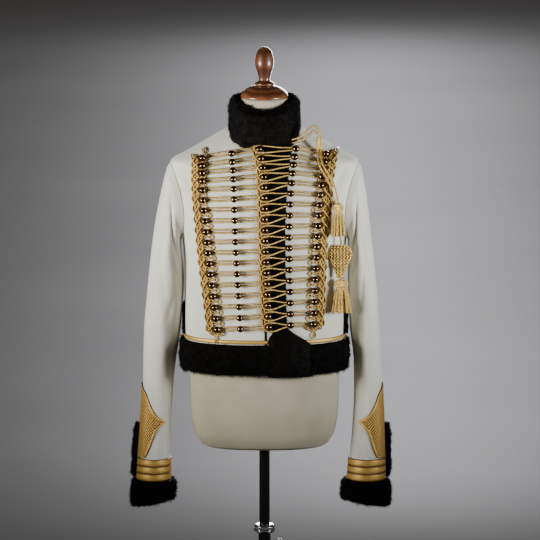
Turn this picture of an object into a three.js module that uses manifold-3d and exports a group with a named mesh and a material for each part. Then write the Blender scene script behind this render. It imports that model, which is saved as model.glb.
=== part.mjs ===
// A hussar's pelisse on a limbless dress form with a turned finial and a height-adjusted pole.
// Millimetres, +Z up. The origin is on the floor under the pole, and the garment faces -Y.
import * as THREE from "three";
import { mergeVertices } from "three/addons/utils/BufferGeometryUtils.js";
import Module from "manifold-3d";

const wasm = await Module();
wasm.setup();

// Cloth and seams
const CLOTH = 2.4; // wool broadcloth with its lining
const SEAM = 0.4; // between two pieces at a seam
const LIFT = 0.9; // between the cloth and what lies on it
const CORD_LIFT = 1.2; // the same under cords and braids
const SQUARE = 2.4; // how far a body section is squared: 2 is an ellipse
const ARMHOLE_STEP = 0.7; // the sleeve head stands this far outside the armhole's edge

// Body sections from hem to neck: half width, and the front's and back's depth from the side seam
const BODY = [
  { z: 766, half: 165, front: 115, back: 111 },
  { z: 830, half: 166.5, front: 113, back: 108 },
  { z: 870, half: 167.5, front: 110, back: 102 },
  { z: 920, half: 167, front: 109, back: 99 },
  { z: 984, half: 167.5, front: 113, back: 102 },
  { z: 1036, half: 171, front: 118, back: 108 },
  { z: 1080, half: 176, front: 121, back: 111 },
  { z: 1125, half: 184, front: 120, back: 111 },
  { z: 1170, half: 192, front: 113, back: 106 },
  { z: 1204, half: 196, front: 102, back: 96 },
  { z: 1222, half: 166, front: 94, back: 88 },
  { z: 1240, half: 135, front: 82, back: 79 },
  { z: 1258, half: 104, front: 70, back: 70 },
  { z: 1282, half: 62, front: 54, back: 58 },
];
const OPENING_X = 6; // the front edges meet here, right of the middle
const NECK_RADIUS = 66;
const ARMHOLE = { z: 1122, half_height: 80, half_width: 56 };
const FRONT_COLUMNS = 7;
const BACK_COLUMNS = 10;
const NECK_START = 0.004; // keeps the two shoulders of the back apart at the middle
const BODY_ROWS = [
  772, 830, 880, 930, 980, 1036, 1043, 1054, 1080, 1116, 1152, 1182, 1197, 1202, 1220, 1241, 1260, 1277,
];

// Soft folds of the body cloth: place round the body, height, slant, width, length and depth
const BODY_FOLDS = [
  { angle: 52, z: 1172, slant: 0.16, width: 5, length: 34, depth: 4.5 },
  { angle: -54, z: 1164, slant: -0.14, width: 5, length: 36, depth: 4 },
  { angle: 70, z: 985, slant: 0.05, width: 7, length: 60, depth: 4 },
  { angle: -68, z: 965, slant: -0.04, width: 7, length: 66, depth: 4.5 },
  { angle: 128, z: 940, slant: 0.03, width: 8, length: 80, depth: 4 },
  { angle: -132, z: 955, slant: -0.04, width: 8, length: 74, depth: 4 },
  { angle: 152, z: 1130, slant: 0.12, width: 7, length: 46, depth: 3.5 },
  { angle: -150, z: 1122, slant: -0.12, width: 7, length: 50, depth: 3.5 },
];

// Sleeve rings from the shoulder to the cuff: the body side's and the outer side's edge, depth and middle
const SLEEVE_LEFT = [
  { in_x: 175, in_z: 1036, out_x: 204, out_z: 1190, depth: 57, y: 0 },
  { in_x: 175, in_z: 1024, out_x: 211, out_z: 1164, depth: 57, y: 0 },
  { in_x: 173, in_z: 1004, out_x: 219, out_z: 1128, depth: 56, y: 0 },
  { in_x: 170, in_z: 980, out_x: 231, out_z: 1062, depth: 54, y: 0 },
  { in_x: 169, in_z: 950, out_x: 240, out_z: 990, depth: 52, y: 0 },
  { in_x: 171, in_z: 905, out_x: 247, out_z: 918, depth: 51, y: 1 },
  { in_x: 176, in_z: 848, out_x: 253, out_z: 850, depth: 50, y: 1 },
  { in_x: 186, in_z: 780, out_x: 255, out_z: 780, depth: 49, y: -2 },
  { in_x: 192, in_z: 715, out_x: 256, out_z: 715, depth: 47, y: -7 },
  { in_x: 196, in_z: 645, out_x: 260, out_z: 645, depth: 45, y: -13 },
  { in_x: 199, in_z: 575, out_x: 265, out_z: 575, depth: 44, y: -19 },
  { in_x: 200, in_z: 482, out_x: 270, out_z: 482, depth: 45, y: -24 },
];
const SLEEVE_RIGHT = [
  { in_x: 175, in_z: 1036, out_x: 203, out_z: 1190, depth: 57, y: 0 },
  { in_x: 175, in_z: 1024, out_x: 208, out_z: 1164, depth: 57, y: 0 },
  { in_x: 175, in_z: 1004, out_x: 214, out_z: 1128, depth: 56, y: 0 },
  { in_x: 175, in_z: 980, out_x: 222, out_z: 1062, depth: 54, y: 0 },
  { in_x: 175, in_z: 950, out_x: 230, out_z: 990, depth: 52, y: 0 },
  { in_x: 176, in_z: 905, out_x: 237, out_z: 918, depth: 51, y: 1 },
  { in_x: 179, in_z: 848, out_x: 242, out_z: 850, depth: 50, y: 1 },
  { in_x: 187, in_z: 780, out_x: 245, out_z: 780, depth: 49, y: -2 },
  { in_x: 188, in_z: 715, out_x: 247, out_z: 715, depth: 47, y: -7 },
  { in_x: 185, in_z: 645, out_x: 250, out_z: 645, depth: 45, y: -13 },
  { in_x: 179, in_z: 575, out_x: 252, out_z: 575, depth: 44, y: -19 },
  { in_x: 172, in_z: 482, out_x: 254, out_z: 482, depth: 46, y: -24 },
];
// The seams of a two-piece sleeve, in degrees from its outer side towards the front
const HIND_SEAM = -18;
const FORE_SEAM = 158;
const TOP_SLEEVE_COLUMNS = 8;
const UNDER_SLEEVE_COLUMNS = 6;
const ELBOW_ROW = 5; // below this ring the rings lie level
const RIGHT_FOLD_TURN = 6; // degrees that the right sleeve's folds stand further round
// Folds of a sleeve: angle, row of the table, slant, width, length and depth
const SLEEVE_FOLDS = [
  { angle: 98, row: 1.6, slant: 16, width: 17, length: 1.5, depth: 8 },
  { angle: 62, row: 3.2, slant: -9, width: 14, length: 1.4, depth: 4.5 },
  { angle: 118, row: 6.2, slant: 10, width: 18, length: 1.3, depth: 5 },
  { angle: 150, row: 6.9, slant: -8, width: 18, length: 0.9, depth: 4 },
  { angle: -62, row: 4.6, slant: 10, width: 16, length: 1.4, depth: 5 },
  { angle: -118, row: 6.5, slant: -12, width: 18, length: 1.1, depth: 5 },
];

// Frogging: eighteen rows of cord with five ball buttons each
const ROWS = 18;
const BALL_RADIUS = 7.1;
const FACETED = 1.08; // a faceted ball's corners stand this much outside the round one
const BALL_OUT = 9.9; // the middle of a ball, which stands on its shank
const CORD_HEIGHT = 3.4;
const CORD_HALF_BAND = 4.6;
const LOOP_RADIUS = 1.8;
const CORD_RADIUS = 1.8;
// Where a button column stands at four of its rows
const KNOT_ROWS = [1, 4, 10, 18];
const COLUMNS = [
  { x: [-129.4, -129.8, -120.1, -99.1], z: [1221, 1175, 1046, 862] },
  { x: [-68.7, -64.5, -60.5, -50.2], z: [1232, 1181, 1050, 865] },
  { x: [-10.9, -1, 2.2, 9.3], z: [1241, 1186, 1053, 869] },
  { x: [66, 58.6, 51.6, 55.2], z: [1241, 1193, 1060, 873] },
  { x: [128.5, 120.5, 110.5, 102.3], z: [1229, 1185, 1060, 873] },
];
const BORDER_WIDTH = 16.5;
const BORDER_HEIGHT = 3;
const BORDER_LIFT = 2.2;

// Fur
const FUR_HEM = { top: 830, bottom: 766, height: 12 };
const FUR_EDGE_HEIGHT = 8.4;
const FUR_TAIL = { bottom: 762, right: 101, height: 19 };
const FUR_COLLAR = { inside: 51, outside: 78, front_top: 1320, side_top: 1343, back_top: 1347 };
const FUR_CUFF = { top: 532, bottom: 476, height: 14 };
const VENT_HALF_ANGLE = 10;
const FUR_VENT_LEFT = { middle: 269, top: 905, height: 4 };
const FUR_VENT_RIGHT = { middle: 91, top: 890, height: 8 };
// Heights between which the front strip widens to the left, to the right and grows thick as the tail
const TAIL_LEFT = [842, 858];
const TAIL_RIGHT = [800, 852];
const TAIL_GROWTH = [806, 846];
const COLLAR_LIFT = 2.6; // between the shoulders and the collar's foot
const COLLAR_OPENING = 4.5; // degrees from the centre front to where the collar's ends meet
const HEM_BRAID = { bottom: 831.5, top: 840, height: 1.6 };
// Gold lace of the cuff: a band, and a pointed piece between two heights at each angle from its tip
const LACE_HEIGHT = 2;
const SPEAR_LIFT = 1.5;
const SPEAR_REACH = 124;
const LACE_BAND = { bottom: 534, top: 578 };
const LACE_SPEAR = [
  { angle: 0, low: 578, high: 734 },
  { angle: 30, low: 578, high: 712 },
  { angle: 60, low: 579, high: 692 },
  { angle: 90, low: 614, high: 674 },
  { angle: 124, low: 654, high: 658 },
];
const CUFF_SLIT_FUR = { bottom: 536, top: 650, half_reach: 13, height: 12 };

// Dress form sections
const FORM = [
  { z: 600, half: 121, front: 76, back: 80 },
  { z: 606, half: 133, front: 88, back: 92 },
  { z: 636, half: 149, front: 100, back: 105 },
  { z: 690, half: 156, front: 105, back: 109 },
  { z: 750, half: 157, front: 106, back: 108 },
  { z: 830, half: 156, front: 103, back: 101 },
  { z: 900, half: 155, front: 99, back: 92 },
  { z: 1040, half: 161, front: 108, back: 101 },
  { z: 1110, half: 170, front: 111, back: 103 },
  { z: 1160, half: 179, front: 104, back: 98 },
  { z: 1190, half: 187, front: 99, back: 94 },
  { z: 1204, half: 184, front: 93, back: 88 },
  { z: 1222, half: 155, front: 86, back: 80 },
  { z: 1240, half: 124, front: 74, back: 71 },
  { z: 1257, half: 93, front: 62, back: 62 },
  { z: 1266, half: 50, front: 50, back: 50 },
  { z: 1337, half: 50, front: 50, back: 50 },
];
const FORM_COLUMNS = 16;
// Turned wood: radius and height
const NECK_CAP = [
  [0, 1337.5], [49.4, 1337.5], [50.2, 1341], [45, 1350], [34, 1357.5], [22, 1363], [0, 1363],
];
const FINIAL = [
  [0, 1363.4], [20, 1363.4], [21, 1367], [13.4, 1371.5], [11.7, 1377], [15.4, 1392], [19, 1404],
  [19.4, 1416], [16, 1432], [9, 1441], [0, 1444],
];
const POLE_RADIUS = 11;
const POLE_TOP = 599.6;
const POLE_BOTTOM = 190;
const TUBE = { inside: 11.5, outside: 12.8, bottom: 20, top: 411.6 };
// Chrome clamp ring: outer profile radius and height
const RING_PROFILE = [[20, 412], [23, 417], [20.4, 420.6], [22, 425], [18, 429]];
const KNOB = { z: 386, stem_radius: 4, stem_start: 13.4, head_start: 26, head_end: 40, head_radius: 11.5 };
const SOCKET_RADIUS = 13.3;
const BASE_PROFILE = [
  [0, 0], [186, 0], [190, 4], [190, 12], [184, 17], [40, 21], [30, 34], [SOCKET_RADIUS, 34],
];
const ROUND_SIDES = 16;
const NORMAL_STEP = 0.4; // between the neighbours from which a surface's normal is measured

const MATERIALS = {
  wool: new THREE.MeshStandardMaterial({ color: 0xd9d7cb, roughness: 0.95, metalness: 0 }),
  fur: new THREE.MeshStandardMaterial({ color: 0x15110e, roughness: 0.9, metalness: 0 }),
  gold: new THREE.MeshStandardMaterial({ color: 0xc9a85c, roughness: 0.5, metalness: 0.6 }),
  linen: new THREE.MeshStandardMaterial({ color: 0xb9b59f, roughness: 0.9, metalness: 0 }),
  wood: new THREE.MeshStandardMaterial({ color: 0x8a5a3a, roughness: 0.3, metalness: 0 }),
  black: new THREE.MeshStandardMaterial({ color: 0x101010, roughness: 0.3, metalness: 0.3 }),
  chrome: new THREE.MeshStandardMaterial({ color: 0xcfd2d4, roughness: 0.1, metalness: 1 }),
};

const group = new THREE.Group();
const vec = (x, y, z) => new THREE.Vector3(x, y, z);
const steps = (count) => Array.from({ length: count + 1 }, (_, i) => i / count);
const mix = THREE.MathUtils.lerp;
const radians = THREE.MathUtils.degToRad;
const power = (value, exponent) => Math.sign(value) * Math.abs(value) ** exponent;
const bell = (distance, width) => Math.exp(-((distance / width) ** 2));

function addNode(name, geometry, material) {
  const mesh = new THREE.Mesh(geometry, MATERIALS[material]);
  mesh.name = name;
  group.add(mesh);
}

// Smooth value between the rows of places and values that runs level through a peak
function smooth(places, values, place) {
  const last = places.length - 1;
  const rising = places[last] > places[0];
  let i = 0;
  while (i < last - 1 && (rising ? place > places[i + 1] : place < places[i + 1])) i += 1;
  const slope = (k) => (values[k + 1] - values[k]) / (places[k + 1] - places[k]);
  const tangent = (k) => {
    if (k === 0) return slope(0);
    if (k === last) return slope(last - 1);
    const before = slope(k - 1);
    const after = slope(k);
    return before * after <= 0 ? 0 : (2 * before * after) / (before + after);
  };
  const span = places[i + 1] - places[i];
  const t = THREE.MathUtils.clamp((place - places[i]) / span, 0, 1);
  const start = (1 + 2 * t) * (1 - t) ** 2 * values[i] + t * (1 - t) ** 2 * span * tangent(i);
  const end = t * t * (3 - 2 * t) * values[i + 1] - t * t * (1 - t) * span * tangent(i + 1);
  return start + end;
}

const tableValue = (table, from, place, column) =>
  smooth(table.map((row) => row[from]), table.map((row) => row[column]), place);

// A closed mesh from points and faces, turned so that its faces point out
function closedGeometry(points, faces) {
  let volume = 0;
  for (const [a, b, c] of faces) {
    volume += points[a].dot(points[b].clone().cross(points[c]));
  }
  const index = faces.flatMap(([a, b, c]) => (volume > 0 ? [a, b, c] : [a, c, b]));
  const geometry = new THREE.BufferGeometry();
  geometry.setAttribute("position", new THREE.Float32BufferAttribute(points.flatMap((p) => p.toArray()), 3));
  geometry.setIndex(index);
  geometry.computeVertexNormals();
  return geometry;
}

// A wall between two layers of points: place(u, v, out) gives a point, low and high the two heights
function wall({ across, along, place, low, high, closed = false }) {
  const points = [];
  const faces = [];
  const columns = across.length;
  const rows = along.length;
  const layer = (height) => {
    const start = points.length;
    for (const v of along) {
      for (const u of across) points.push(place(u, v, height(u, v)));
    }
    return (row, column) => start + row * columns + (column % columns);
  };
  const top = layer(high);
  const bottom = layer(low);
  const quad = (a, b, c, d) => faces.push([a, b, c], [a, c, d]);
  const spans = closed ? columns : columns - 1;
  for (let r = 0; r < rows - 1; r += 1) {
    for (let c = 0; c < spans; c += 1) {
      quad(top(r, c), top(r, c + 1), top(r + 1, c + 1), top(r + 1, c));
      quad(bottom(r, c), bottom(r + 1, c), bottom(r + 1, c + 1), bottom(r, c + 1));
    }
  }
  for (let c = 0; c < spans; c += 1) {
    quad(top(0, c), bottom(0, c), bottom(0, c + 1), top(0, c + 1));
    quad(top(rows - 1, c), top(rows - 1, c + 1), bottom(rows - 1, c + 1), bottom(rows - 1, c));
  }
  if (!closed) {
    for (let r = 0; r < rows - 1; r += 1) {
      quad(top(r, 0), top(r + 1, 0), bottom(r + 1, 0), bottom(r, 0));
      const c = columns - 1;
      quad(top(r, c), bottom(r, c), bottom(r + 1, c), top(r + 1, c));
    }
  }
  return closedGeometry(points, faces);
}

// A solid through closed sections of equal count, with flat ends unless it runs round
function loft(sections, round = false) {
  const points = sections.flat().map((p) => p.clone());
  const faces = [];
  const sides = sections[0].length;
  const spans = round ? sections.length : sections.length - 1;
  const index = (s, k) => (s % sections.length) * sides + (k % sides);
  for (let s = 0; s < spans; s += 1) {
    for (let k = 0; k < sides; k += 1) {
      faces.push([index(s, k), index(s, k + 1), index(s + 1, k + 1)]);
      faces.push([index(s, k), index(s + 1, k + 1), index(s + 1, k)]);
    }
  }
  if (!round) {
    for (let k = 1; k < sides - 1; k += 1) {
      faces.push([index(0, 0), index(0, k + 1), index(0, k)]);
      const end = sections.length - 1;
      faces.push([index(end, 0), index(end, k), index(end, k + 1)]);
    }
  }
  return closedGeometry(points, faces);
}

// A round tube along points, its section kept level with a fixed side direction
function tube(points, radius, sides) {
  const path = new THREE.CatmullRomCurve3(points, false, "centripetal");
  const count = Math.max(2, Math.round(path.getLength() / (radius * 6)));
  const section = new THREE.Shape();
  for (let k = 0; k < sides; k += 1) {
    const angle = ((k + 0.5) / sides) * 2 * Math.PI;
    const method = k === 0 ? "moveTo" : "lineTo";
    section[method](radius * Math.cos(angle), radius * Math.sin(angle));
  }
  section.closePath();
  return new THREE.ExtrudeGeometry(section, { steps: count, bevelEnabled: false, extrudePath: path });
}

function turned(profile, sides = ROUND_SIDES) {
  const geometry = new THREE.LatheGeometry(profile.map(([r, z]) => new THREE.Vector2(r, z)), sides);
  return geometry.rotateX(Math.PI / 2);
}

function merged(geometry) {
  const bare = geometry.clone();
  bare.deleteAttribute("normal");
  bare.deleteAttribute("uv");
  const welded = mergeVertices(bare, 1e-4);
  const index = Array.from(welded.index.array);
  const kept = [];
  for (let i = 0; i < index.length; i += 3) {
    const [a, b, c] = index.slice(i, i + 3);
    if (a !== b && b !== c && a !== c) kept.push(a, b, c);
  }
  welded.setIndex(kept);
  return welded;
}

function solid(geometry) {
  const welded = merged(geometry);
  return new wasm.Manifold(new wasm.Mesh({
    numProp: 3,
    vertProperties: new Float32Array(welded.attributes.position.array),
    triVerts: new Uint32Array(welded.index.array),
  }));
}

function fused(geometries) {
  const body = geometries.map(solid).reduce((sum, next) => sum.add(next));
  const mesh = body.getMesh();
  const geometry = new THREE.BufferGeometry();
  geometry.setAttribute("position", new THREE.BufferAttribute(mesh.vertProperties, 3));
  geometry.setIndex(new THREE.BufferAttribute(mesh.triVerts, 1));
  geometry.computeVertexNormals();
  return geometry;
}

// A surface's point moved out along its normal, which is measured from its neighbours
function movedOut(surface, angle, height, out, turn) {
  const step = NORMAL_STEP;
  const around = surface(angle + step, height).sub(surface(angle - step, height));
  const up = surface(angle, height + turn * step).sub(surface(angle, height - turn * step));
  const normal = around.cross(up).normalize();
  return surface(angle, height).addScaledVector(normal, out);
}

// The body's surface. The angle is 0 at the centre front, 90 at the right side and 180 at the back.
function bodySurface(angle, z) {
  const half = tableValue(BODY, "z", z, "half");
  const turn = radians(angle);
  const depth = tableValue(BODY, "z", z, Math.cos(turn) > 0 ? "front" : "back");
  const exponent = 2 / SQUARE;
  return vec(half * power(Math.sin(turn), exponent), -depth * power(Math.cos(turn), exponent), z);
}

function bodyFold(angle, z) {
  let sum = 0;
  for (const fold of BODY_FOLDS) {
    const off = angle - fold.angle - fold.slant * (z - fold.z);
    sum -= fold.depth * bell(off, fold.width) * bell(z - fold.z, fold.length);
  }
  return sum;
}

const bodyPoint = (angle, z, out) => movedOut(bodySurface, angle, z, out + bodyFold(angle, z), 1);

function angleAcross(x, z) {
  const share = Math.min(1, Math.abs(x) / tableValue(BODY, "z", z, "half"));
  return Math.sign(x) * THREE.MathUtils.radToDeg(Math.asin(share ** (SQUARE / 2)));
}

function angleAtDepth(y, z) {
  const depth = tableValue(BODY, "z", z, y < 0 ? "front" : "back");
  const share = Math.min(1, Math.abs(y) / depth);
  const angle = THREE.MathUtils.radToDeg(Math.acos(share ** (SQUARE / 2)));
  return y < 0 ? angle : 180 - angle;
}

// The columns of the body's panels round the hem, between two angles that are added at the ends
function hemAngles(from, to) {
  const opening = angleAcross(OPENING_X, FUR_HEM.top);
  const front = steps(FRONT_COLUMNS);
  const back = steps(BACK_COLUMNS);
  const all = [
    ...front.map((u) => mix(opening, 90, u)),
    ...back.slice(1, -1).map((u) => mix(90, 270, u)),
    ...front.map((u) => 360 - mix(-opening, 90, 1 - u)),
  ];
  return [from, ...all.filter((angle) => angle > from + 2 && angle < to - 2), to];
}

// The point over the front that shows at x and z and stands out from the cloth
function onFront(x, z, out) {
  let baseX = x;
  let baseZ = z;
  let point = vec(x, 0, z);
  for (let i = 0; i < 4; i += 1) {
    point = bodyPoint(angleAcross(baseX, baseZ), baseZ, out);
    baseX += x - point.x;
    baseZ += z - point.z;
  }
  return point;
}

// Height of the body's surface over a point of the floor plan, near the neck
function bodyHeight(x, y) {
  let low = 1150;
  let high = 1290;
  for (let i = 0; i < 30; i += 1) {
    const z = (low + high) / 2;
    const half = tableValue(BODY, "z", z, "half");
    const depth = tableValue(BODY, "z", z, y < 0 ? "front" : "back");
    const share = Math.abs(x / half) ** SQUARE + Math.abs(y / depth) ** SQUARE;
    if (share < 1) low = z;
    else high = z;
  }
  return low;
}

function armholeDepth(z) {
  const share = (z - ARMHOLE.z) / ARMHOLE.half_height;
  return Math.abs(share) >= 1 ? 0 : ARMHOLE.half_width * Math.sqrt(1 - share * share);
}

// Where the neck hole cuts a body section: degrees from the centre front or the centre back
function neckAngle(z, side) {
  const middle = side === "front" ? 0 : 180;
  let near = 0;
  let far = 90;
  const outside = (off) => {
    const point = bodySurface(side === "front" ? off : middle - off, z);
    return Math.hypot(point.x, point.y) > NECK_RADIUS;
  };
  if (outside(0)) return 0;
  for (let i = 0; i < 30; i += 1) {
    const angle = (near + far) / 2;
    if (outside(angle)) far = angle;
    else near = angle;
  }
  return far;
}

function buildFront(name, side) {
  const place = (u, z, out) => {
    const opening = angleAcross(OPENING_X, z);
    const neck = side * neckAngle(z, "front");
    const start = side > 0 ? Math.max(opening, neck) : Math.min(opening, neck);
    const end = side * angleAtDepth(-Math.max(SEAM, armholeDepth(z)), z);
    const point = bodyPoint(mix(start, end, u), z, out);
    point.y = Math.min(point.y, -SEAM / 2);
    const edge = OPENING_X + (side * SEAM) / 2;
    point.x = side > 0 ? Math.max(point.x, edge) : Math.min(point.x, edge);
    return point;
  };
  const spread = steps(FRONT_COLUMNS);
  addNode(name, wall({ across: spread, along: BODY_ROWS, place, low: () => -CLOTH, high: () => 0 }), "wool");
}

function buildBack() {
  const place = (u, z, out) => {
    const end = angleAtDepth(Math.max(SEAM, armholeDepth(z)), z);
    const neck = 180 - neckAngle(z, "back");
    const half = Math.abs(u);
    const angle = neck < 180 ? mix(neck, end, half) : mix(180, end, half);
    const point = bodyPoint(u < 0 ? 360 - angle : angle, z, out);
    point.y = Math.max(point.y, SEAM / 2);
    return point;
  };
  // The neck hole leaves two shoulders, so the back is two walls up there, fused over the lower one
  const full = BODY_ROWS.filter((z) => neckAngle(z, "back") === 0);
  const split = BODY_ROWS.filter((z) => neckAngle(z, "back") > 0);
  const low = () => -CLOTH;
  const high = () => 0;
  const across = steps(BACK_COLUMNS).map((u) => u * 2 - 1);
  const lower = wall({ across, along: full, place, low, high });
  const last = full[full.length - 1];
  const shoulder = (side) => {
    const half = steps(BACK_COLUMNS / 2).map((u) => side * (NECK_START + (1 - NECK_START) * u));
    return wall({ across: half, along: [last - 1.5, ...split], place, low, high });
  };
  addNode("back", fused([lower, shoulder(1), shoulder(-1)]), "wool");
}

// A sleeve's surface: 0 degrees is its outer side, 90 its front and 180 the side next to the body
function sleeveSurface(table, side) {
  return (angle, row) => {
    const turn = radians(angle);
    const value = (column) => smooth(table.map((_, i) => i), table.map((r) => r[column]), Math.max(row, 0));
    const inner = vec(value("in_x"), value("y"), value("in_z"));
    const outer = vec(value("out_x"), value("y"), value("out_z"));
    const point = inner.lerp(outer, (1 + Math.cos(turn)) / 2);
    point.y -= value("depth") * Math.sin(turn);
    point.x *= side;
    return point;
  };
}

function armholePoint(angle, side, out) {
  const turn = radians(angle);
  const z = ARMHOLE.z + (ARMHOLE.half_height + out) * Math.cos(turn);
  const y = -(ARMHOLE.half_width + out) * Math.sin(turn);
  const half = tableValue(BODY, "z", z, "half");
  const depth = tableValue(BODY, "z", z, y < 0 ? "front" : "back");
  const x = half * (1 - Math.min(1, Math.abs(y / depth)) ** SQUARE) ** (1 / SQUARE);
  return vec(side * (x + ARMHOLE_STEP), y, z);
}

function sleeveFold(angle, row, side) {
  let sum = 0;
  for (const fold of SLEEVE_FOLDS) {
    const middle = fold.angle + fold.slant * (row - fold.row) + (side > 0 ? RIGHT_FOLD_TURN : 0);
    const off = THREE.MathUtils.euclideanModulo(angle - middle + 180, 360) - 180;
    sum -= fold.depth * bell(off, fold.width) * bell(row - fold.row, fold.length);
  }
  return sum;
}

function sleevePoint(side, angle, row, out) {
  const surface = sleeveSurface(side < 0 ? SLEEVE_LEFT : SLEEVE_RIGHT, side);
  const fold = sleeveFold(angle, row, side);
  return movedOut(surface, angle, row, side * (out + fold), 1);
}

// The table row at a height, below the elbow where the sleeve's rings lie level
function sleeveRow(side, z) {
  const table = side < 0 ? SLEEVE_LEFT : SLEEVE_RIGHT;
  let low = ELBOW_ROW;
  let high = table.length - 1;
  for (let i = 0; i < 30; i += 1) {
    const row = (low + high) / 2;
    if (smooth(table.map((_, k) => k), table.map((r) => r.out_z), row) > z) low = row;
    else high = row;
  }
  return low;
}

const SLEEVE_ROWS = [-1, 0, 1, 2, 3, 4, 5, 6, 7.2, 8.2, 9, 10, 11];

function buildSleeve(label, side) {
  const piece = (name, from, to, columns) => {
    const gap = 0.35;
    const place = (u, row, out) => {
      const angle = mix(from + gap, to - gap, u);
      return row < 0 ? armholePoint(angle, side, out) : sleevePoint(side, angle, row, out);
    };
    const shape = { across: steps(columns), along: SLEEVE_ROWS, place, low: () => -CLOTH, high: () => 0 };
    addNode(name, wall(shape), "wool");
  };
  piece(`sleeve_${label}_top`, HIND_SEAM, FORE_SEAM, TOP_SLEEVE_COLUMNS);
  piece(`sleeve_${label}_under`, FORE_SEAM, HIND_SEAM + 360, UNDER_SLEEVE_COLUMNS);
}

// The columns of both pieces of a sleeve, once round
const SLEEVE_ANGLES = [
  ...steps(TOP_SLEEVE_COLUMNS).map((u) => mix(HIND_SEAM, FORE_SEAM, u)),
  ...steps(UNDER_SLEEVE_COLUMNS).slice(1, -1).map((u) => mix(FORE_SEAM, HIND_SEAM + 360, u)),
];

// Rounded height of a strip of fur across its width, 0 to 1
const rounded = (u, edge = 0.25) => edge + (1 - edge) * Math.sqrt(Math.max(0, 1 - (2 * u - 1) ** 4));

const columnAt = (column, row) => ({
  x: smooth(KNOT_ROWS, COLUMNS[column].x, row),
  z: smooth(KNOT_ROWS, COLUMNS[column].z, row),
});

function columnX(column, z) {
  let low = 1;
  let high = ROWS;
  for (let i = 0; i < 24; i += 1) {
    const row = (low + high) / 2;
    if (columnAt(column, row).z > z) low = row;
    else high = row;
  }
  return columnAt(column, low).x;
}

function buildEdgeFur() {
  const past = BALL_RADIUS + 1.2; // the strip starts clear of the balls
  const { smoothstep } = THREE.MathUtils;
  const left = (z) => mix(OPENING_X + 2.5, columnX(2, z) + past, smoothstep(z, ...TAIL_LEFT));
  const right = (z) => mix(FUR_TAIL.right, columnX(3, z) - past, smoothstep(z, ...TAIL_RIGHT));
  const place = (u, z, out) => onFront(mix(left(z), right(z), u), z, out);
  const grow = (z) => 1 - smoothstep(z, ...TAIL_GROWTH);
  const foot = (z) => rounded(THREE.MathUtils.clamp((z - FUR_TAIL.bottom) / 40, 0, 0.5), 0.35);
  const high = (u, z) => LIFT + mix(FUR_EDGE_HEIGHT, FUR_TAIL.height, grow(z)) * rounded(u) * foot(z);
  const along = [762, 772, 800, 826, 842, 852, 900, 960, 1020, 1080, 1124, 1154, 1180, 1202, 1222, 1240];
  addNode("fur_front_edge", wall({ across: steps(4), along, place, low: () => LIFT, high }), "fur");
}

function buildHemFur() {
  const start = angleAcross(FUR_TAIL.right + 1.5, FUR_HEM.top);
  const end = 360 + angleAcross(OPENING_X + 1, FUR_HEM.top);
  const place = (angle, v, out) => bodyPoint(angle, mix(FUR_HEM.bottom, FUR_HEM.top, v), out);
  const high = (_, v) => LIFT + FUR_HEM.height * rounded(v);
  const shape = { across: hemAngles(start, end), along: [0, 0.2, 0.8, 1], place, low: () => LIFT, high };
  addNode("fur_hem", wall(shape), "fur");
}

function buildHemBraid() {
  const start = angleAcross(FUR_TAIL.right - 14, HEM_BRAID.top);
  const end = 360 + angleAcross(OPENING_X + 0.5, HEM_BRAID.top);
  const place = (angle, v, out) => bodyPoint(angle, mix(HEM_BRAID.bottom, HEM_BRAID.top, v), out);
  const high = () => LIFT + HEM_BRAID.height;
  const shape = { across: hemAngles(start, end), along: [0, 1], place, low: () => LIFT, high };
  addNode("braid_hem", wall(shape), "gold");
}

function buildVentFur(name, { middle, top, height }) {
  const bottom = HEM_BRAID.top + 1;
  const place = (u, v, out) => {
    const spread = VENT_HALF_ANGLE * (2 * u - 1);
    return bodyPoint(middle + spread, mix(bottom, top, v), out);
  };
  const ends = (v) => rounded(THREE.MathUtils.clamp(0.5 + v / 2, 0, 1), 0.3);
  const high = (u, v) => LIFT + height * rounded(u) * ends(v);
  addNode(name, wall({ across: steps(3), along: steps(4), place, low: () => LIFT, high }), "fur");
}

// The fur collar: a fat band round the neck that rests on the shoulders and is open at the front
function buildCollar() {
  const section = (angle) => {
    const turn = radians(angle);
    const facing = Math.cos(turn);
    const { front_top: front, side_top: side, back_top: back } = FUR_COLLAR;
    const top = facing > 0 ? mix(side, front, facing ** 1.5) : mix(side, back, -facing);
    const at = (radius, z) => vec(radius * Math.sin(turn), -radius * Math.cos(turn), z);
    const floor = (radius) => bodyHeight(radius * Math.sin(turn), -radius * Math.cos(turn)) + COLLAR_LIFT;
    const { inside, outside } = FUR_COLLAR;
    const low = floor(outside - 2);
    return [
      at(inside, floor(NECK_RADIUS) + 3),
      at(inside, top - 5),
      at((inside + outside) / 2 - 3, top),
      at(outside - 3, top - 9),
      at(outside, mix(low, top, 0.5)),
      at(outside - 2, low),
      at(NECK_RADIUS, floor(NECK_RADIUS)),
    ];
  };
  const sections = steps(22).map((u) => section(mix(COLLAR_OPENING + 0.4, COLLAR_OPENING + 359.6, u)));
  addNode("fur_collar", loft(sections), "fur");
}

function buildCuffFur(label, side) {
  const place = (u, v, out) => {
    const row = sleeveRow(side, mix(FUR_CUFF.bottom + 8, FUR_CUFF.top, v));
    const point = sleevePoint(side, u, row, out);
    point.z = mix(FUR_CUFF.bottom, FUR_CUFF.top, v);
    return point;
  };
  const high = (u, v) => LIFT + FUR_CUFF.height * rounded(v, 0.35);
  const across = SLEEVE_ANGLES;
  const shape = { across, along: [0, 0.2, 0.8, 1], place, low: () => LIFT, high, closed: true };
  addNode(`fur_cuff_${label}`, wall(shape), "fur");
}

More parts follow.
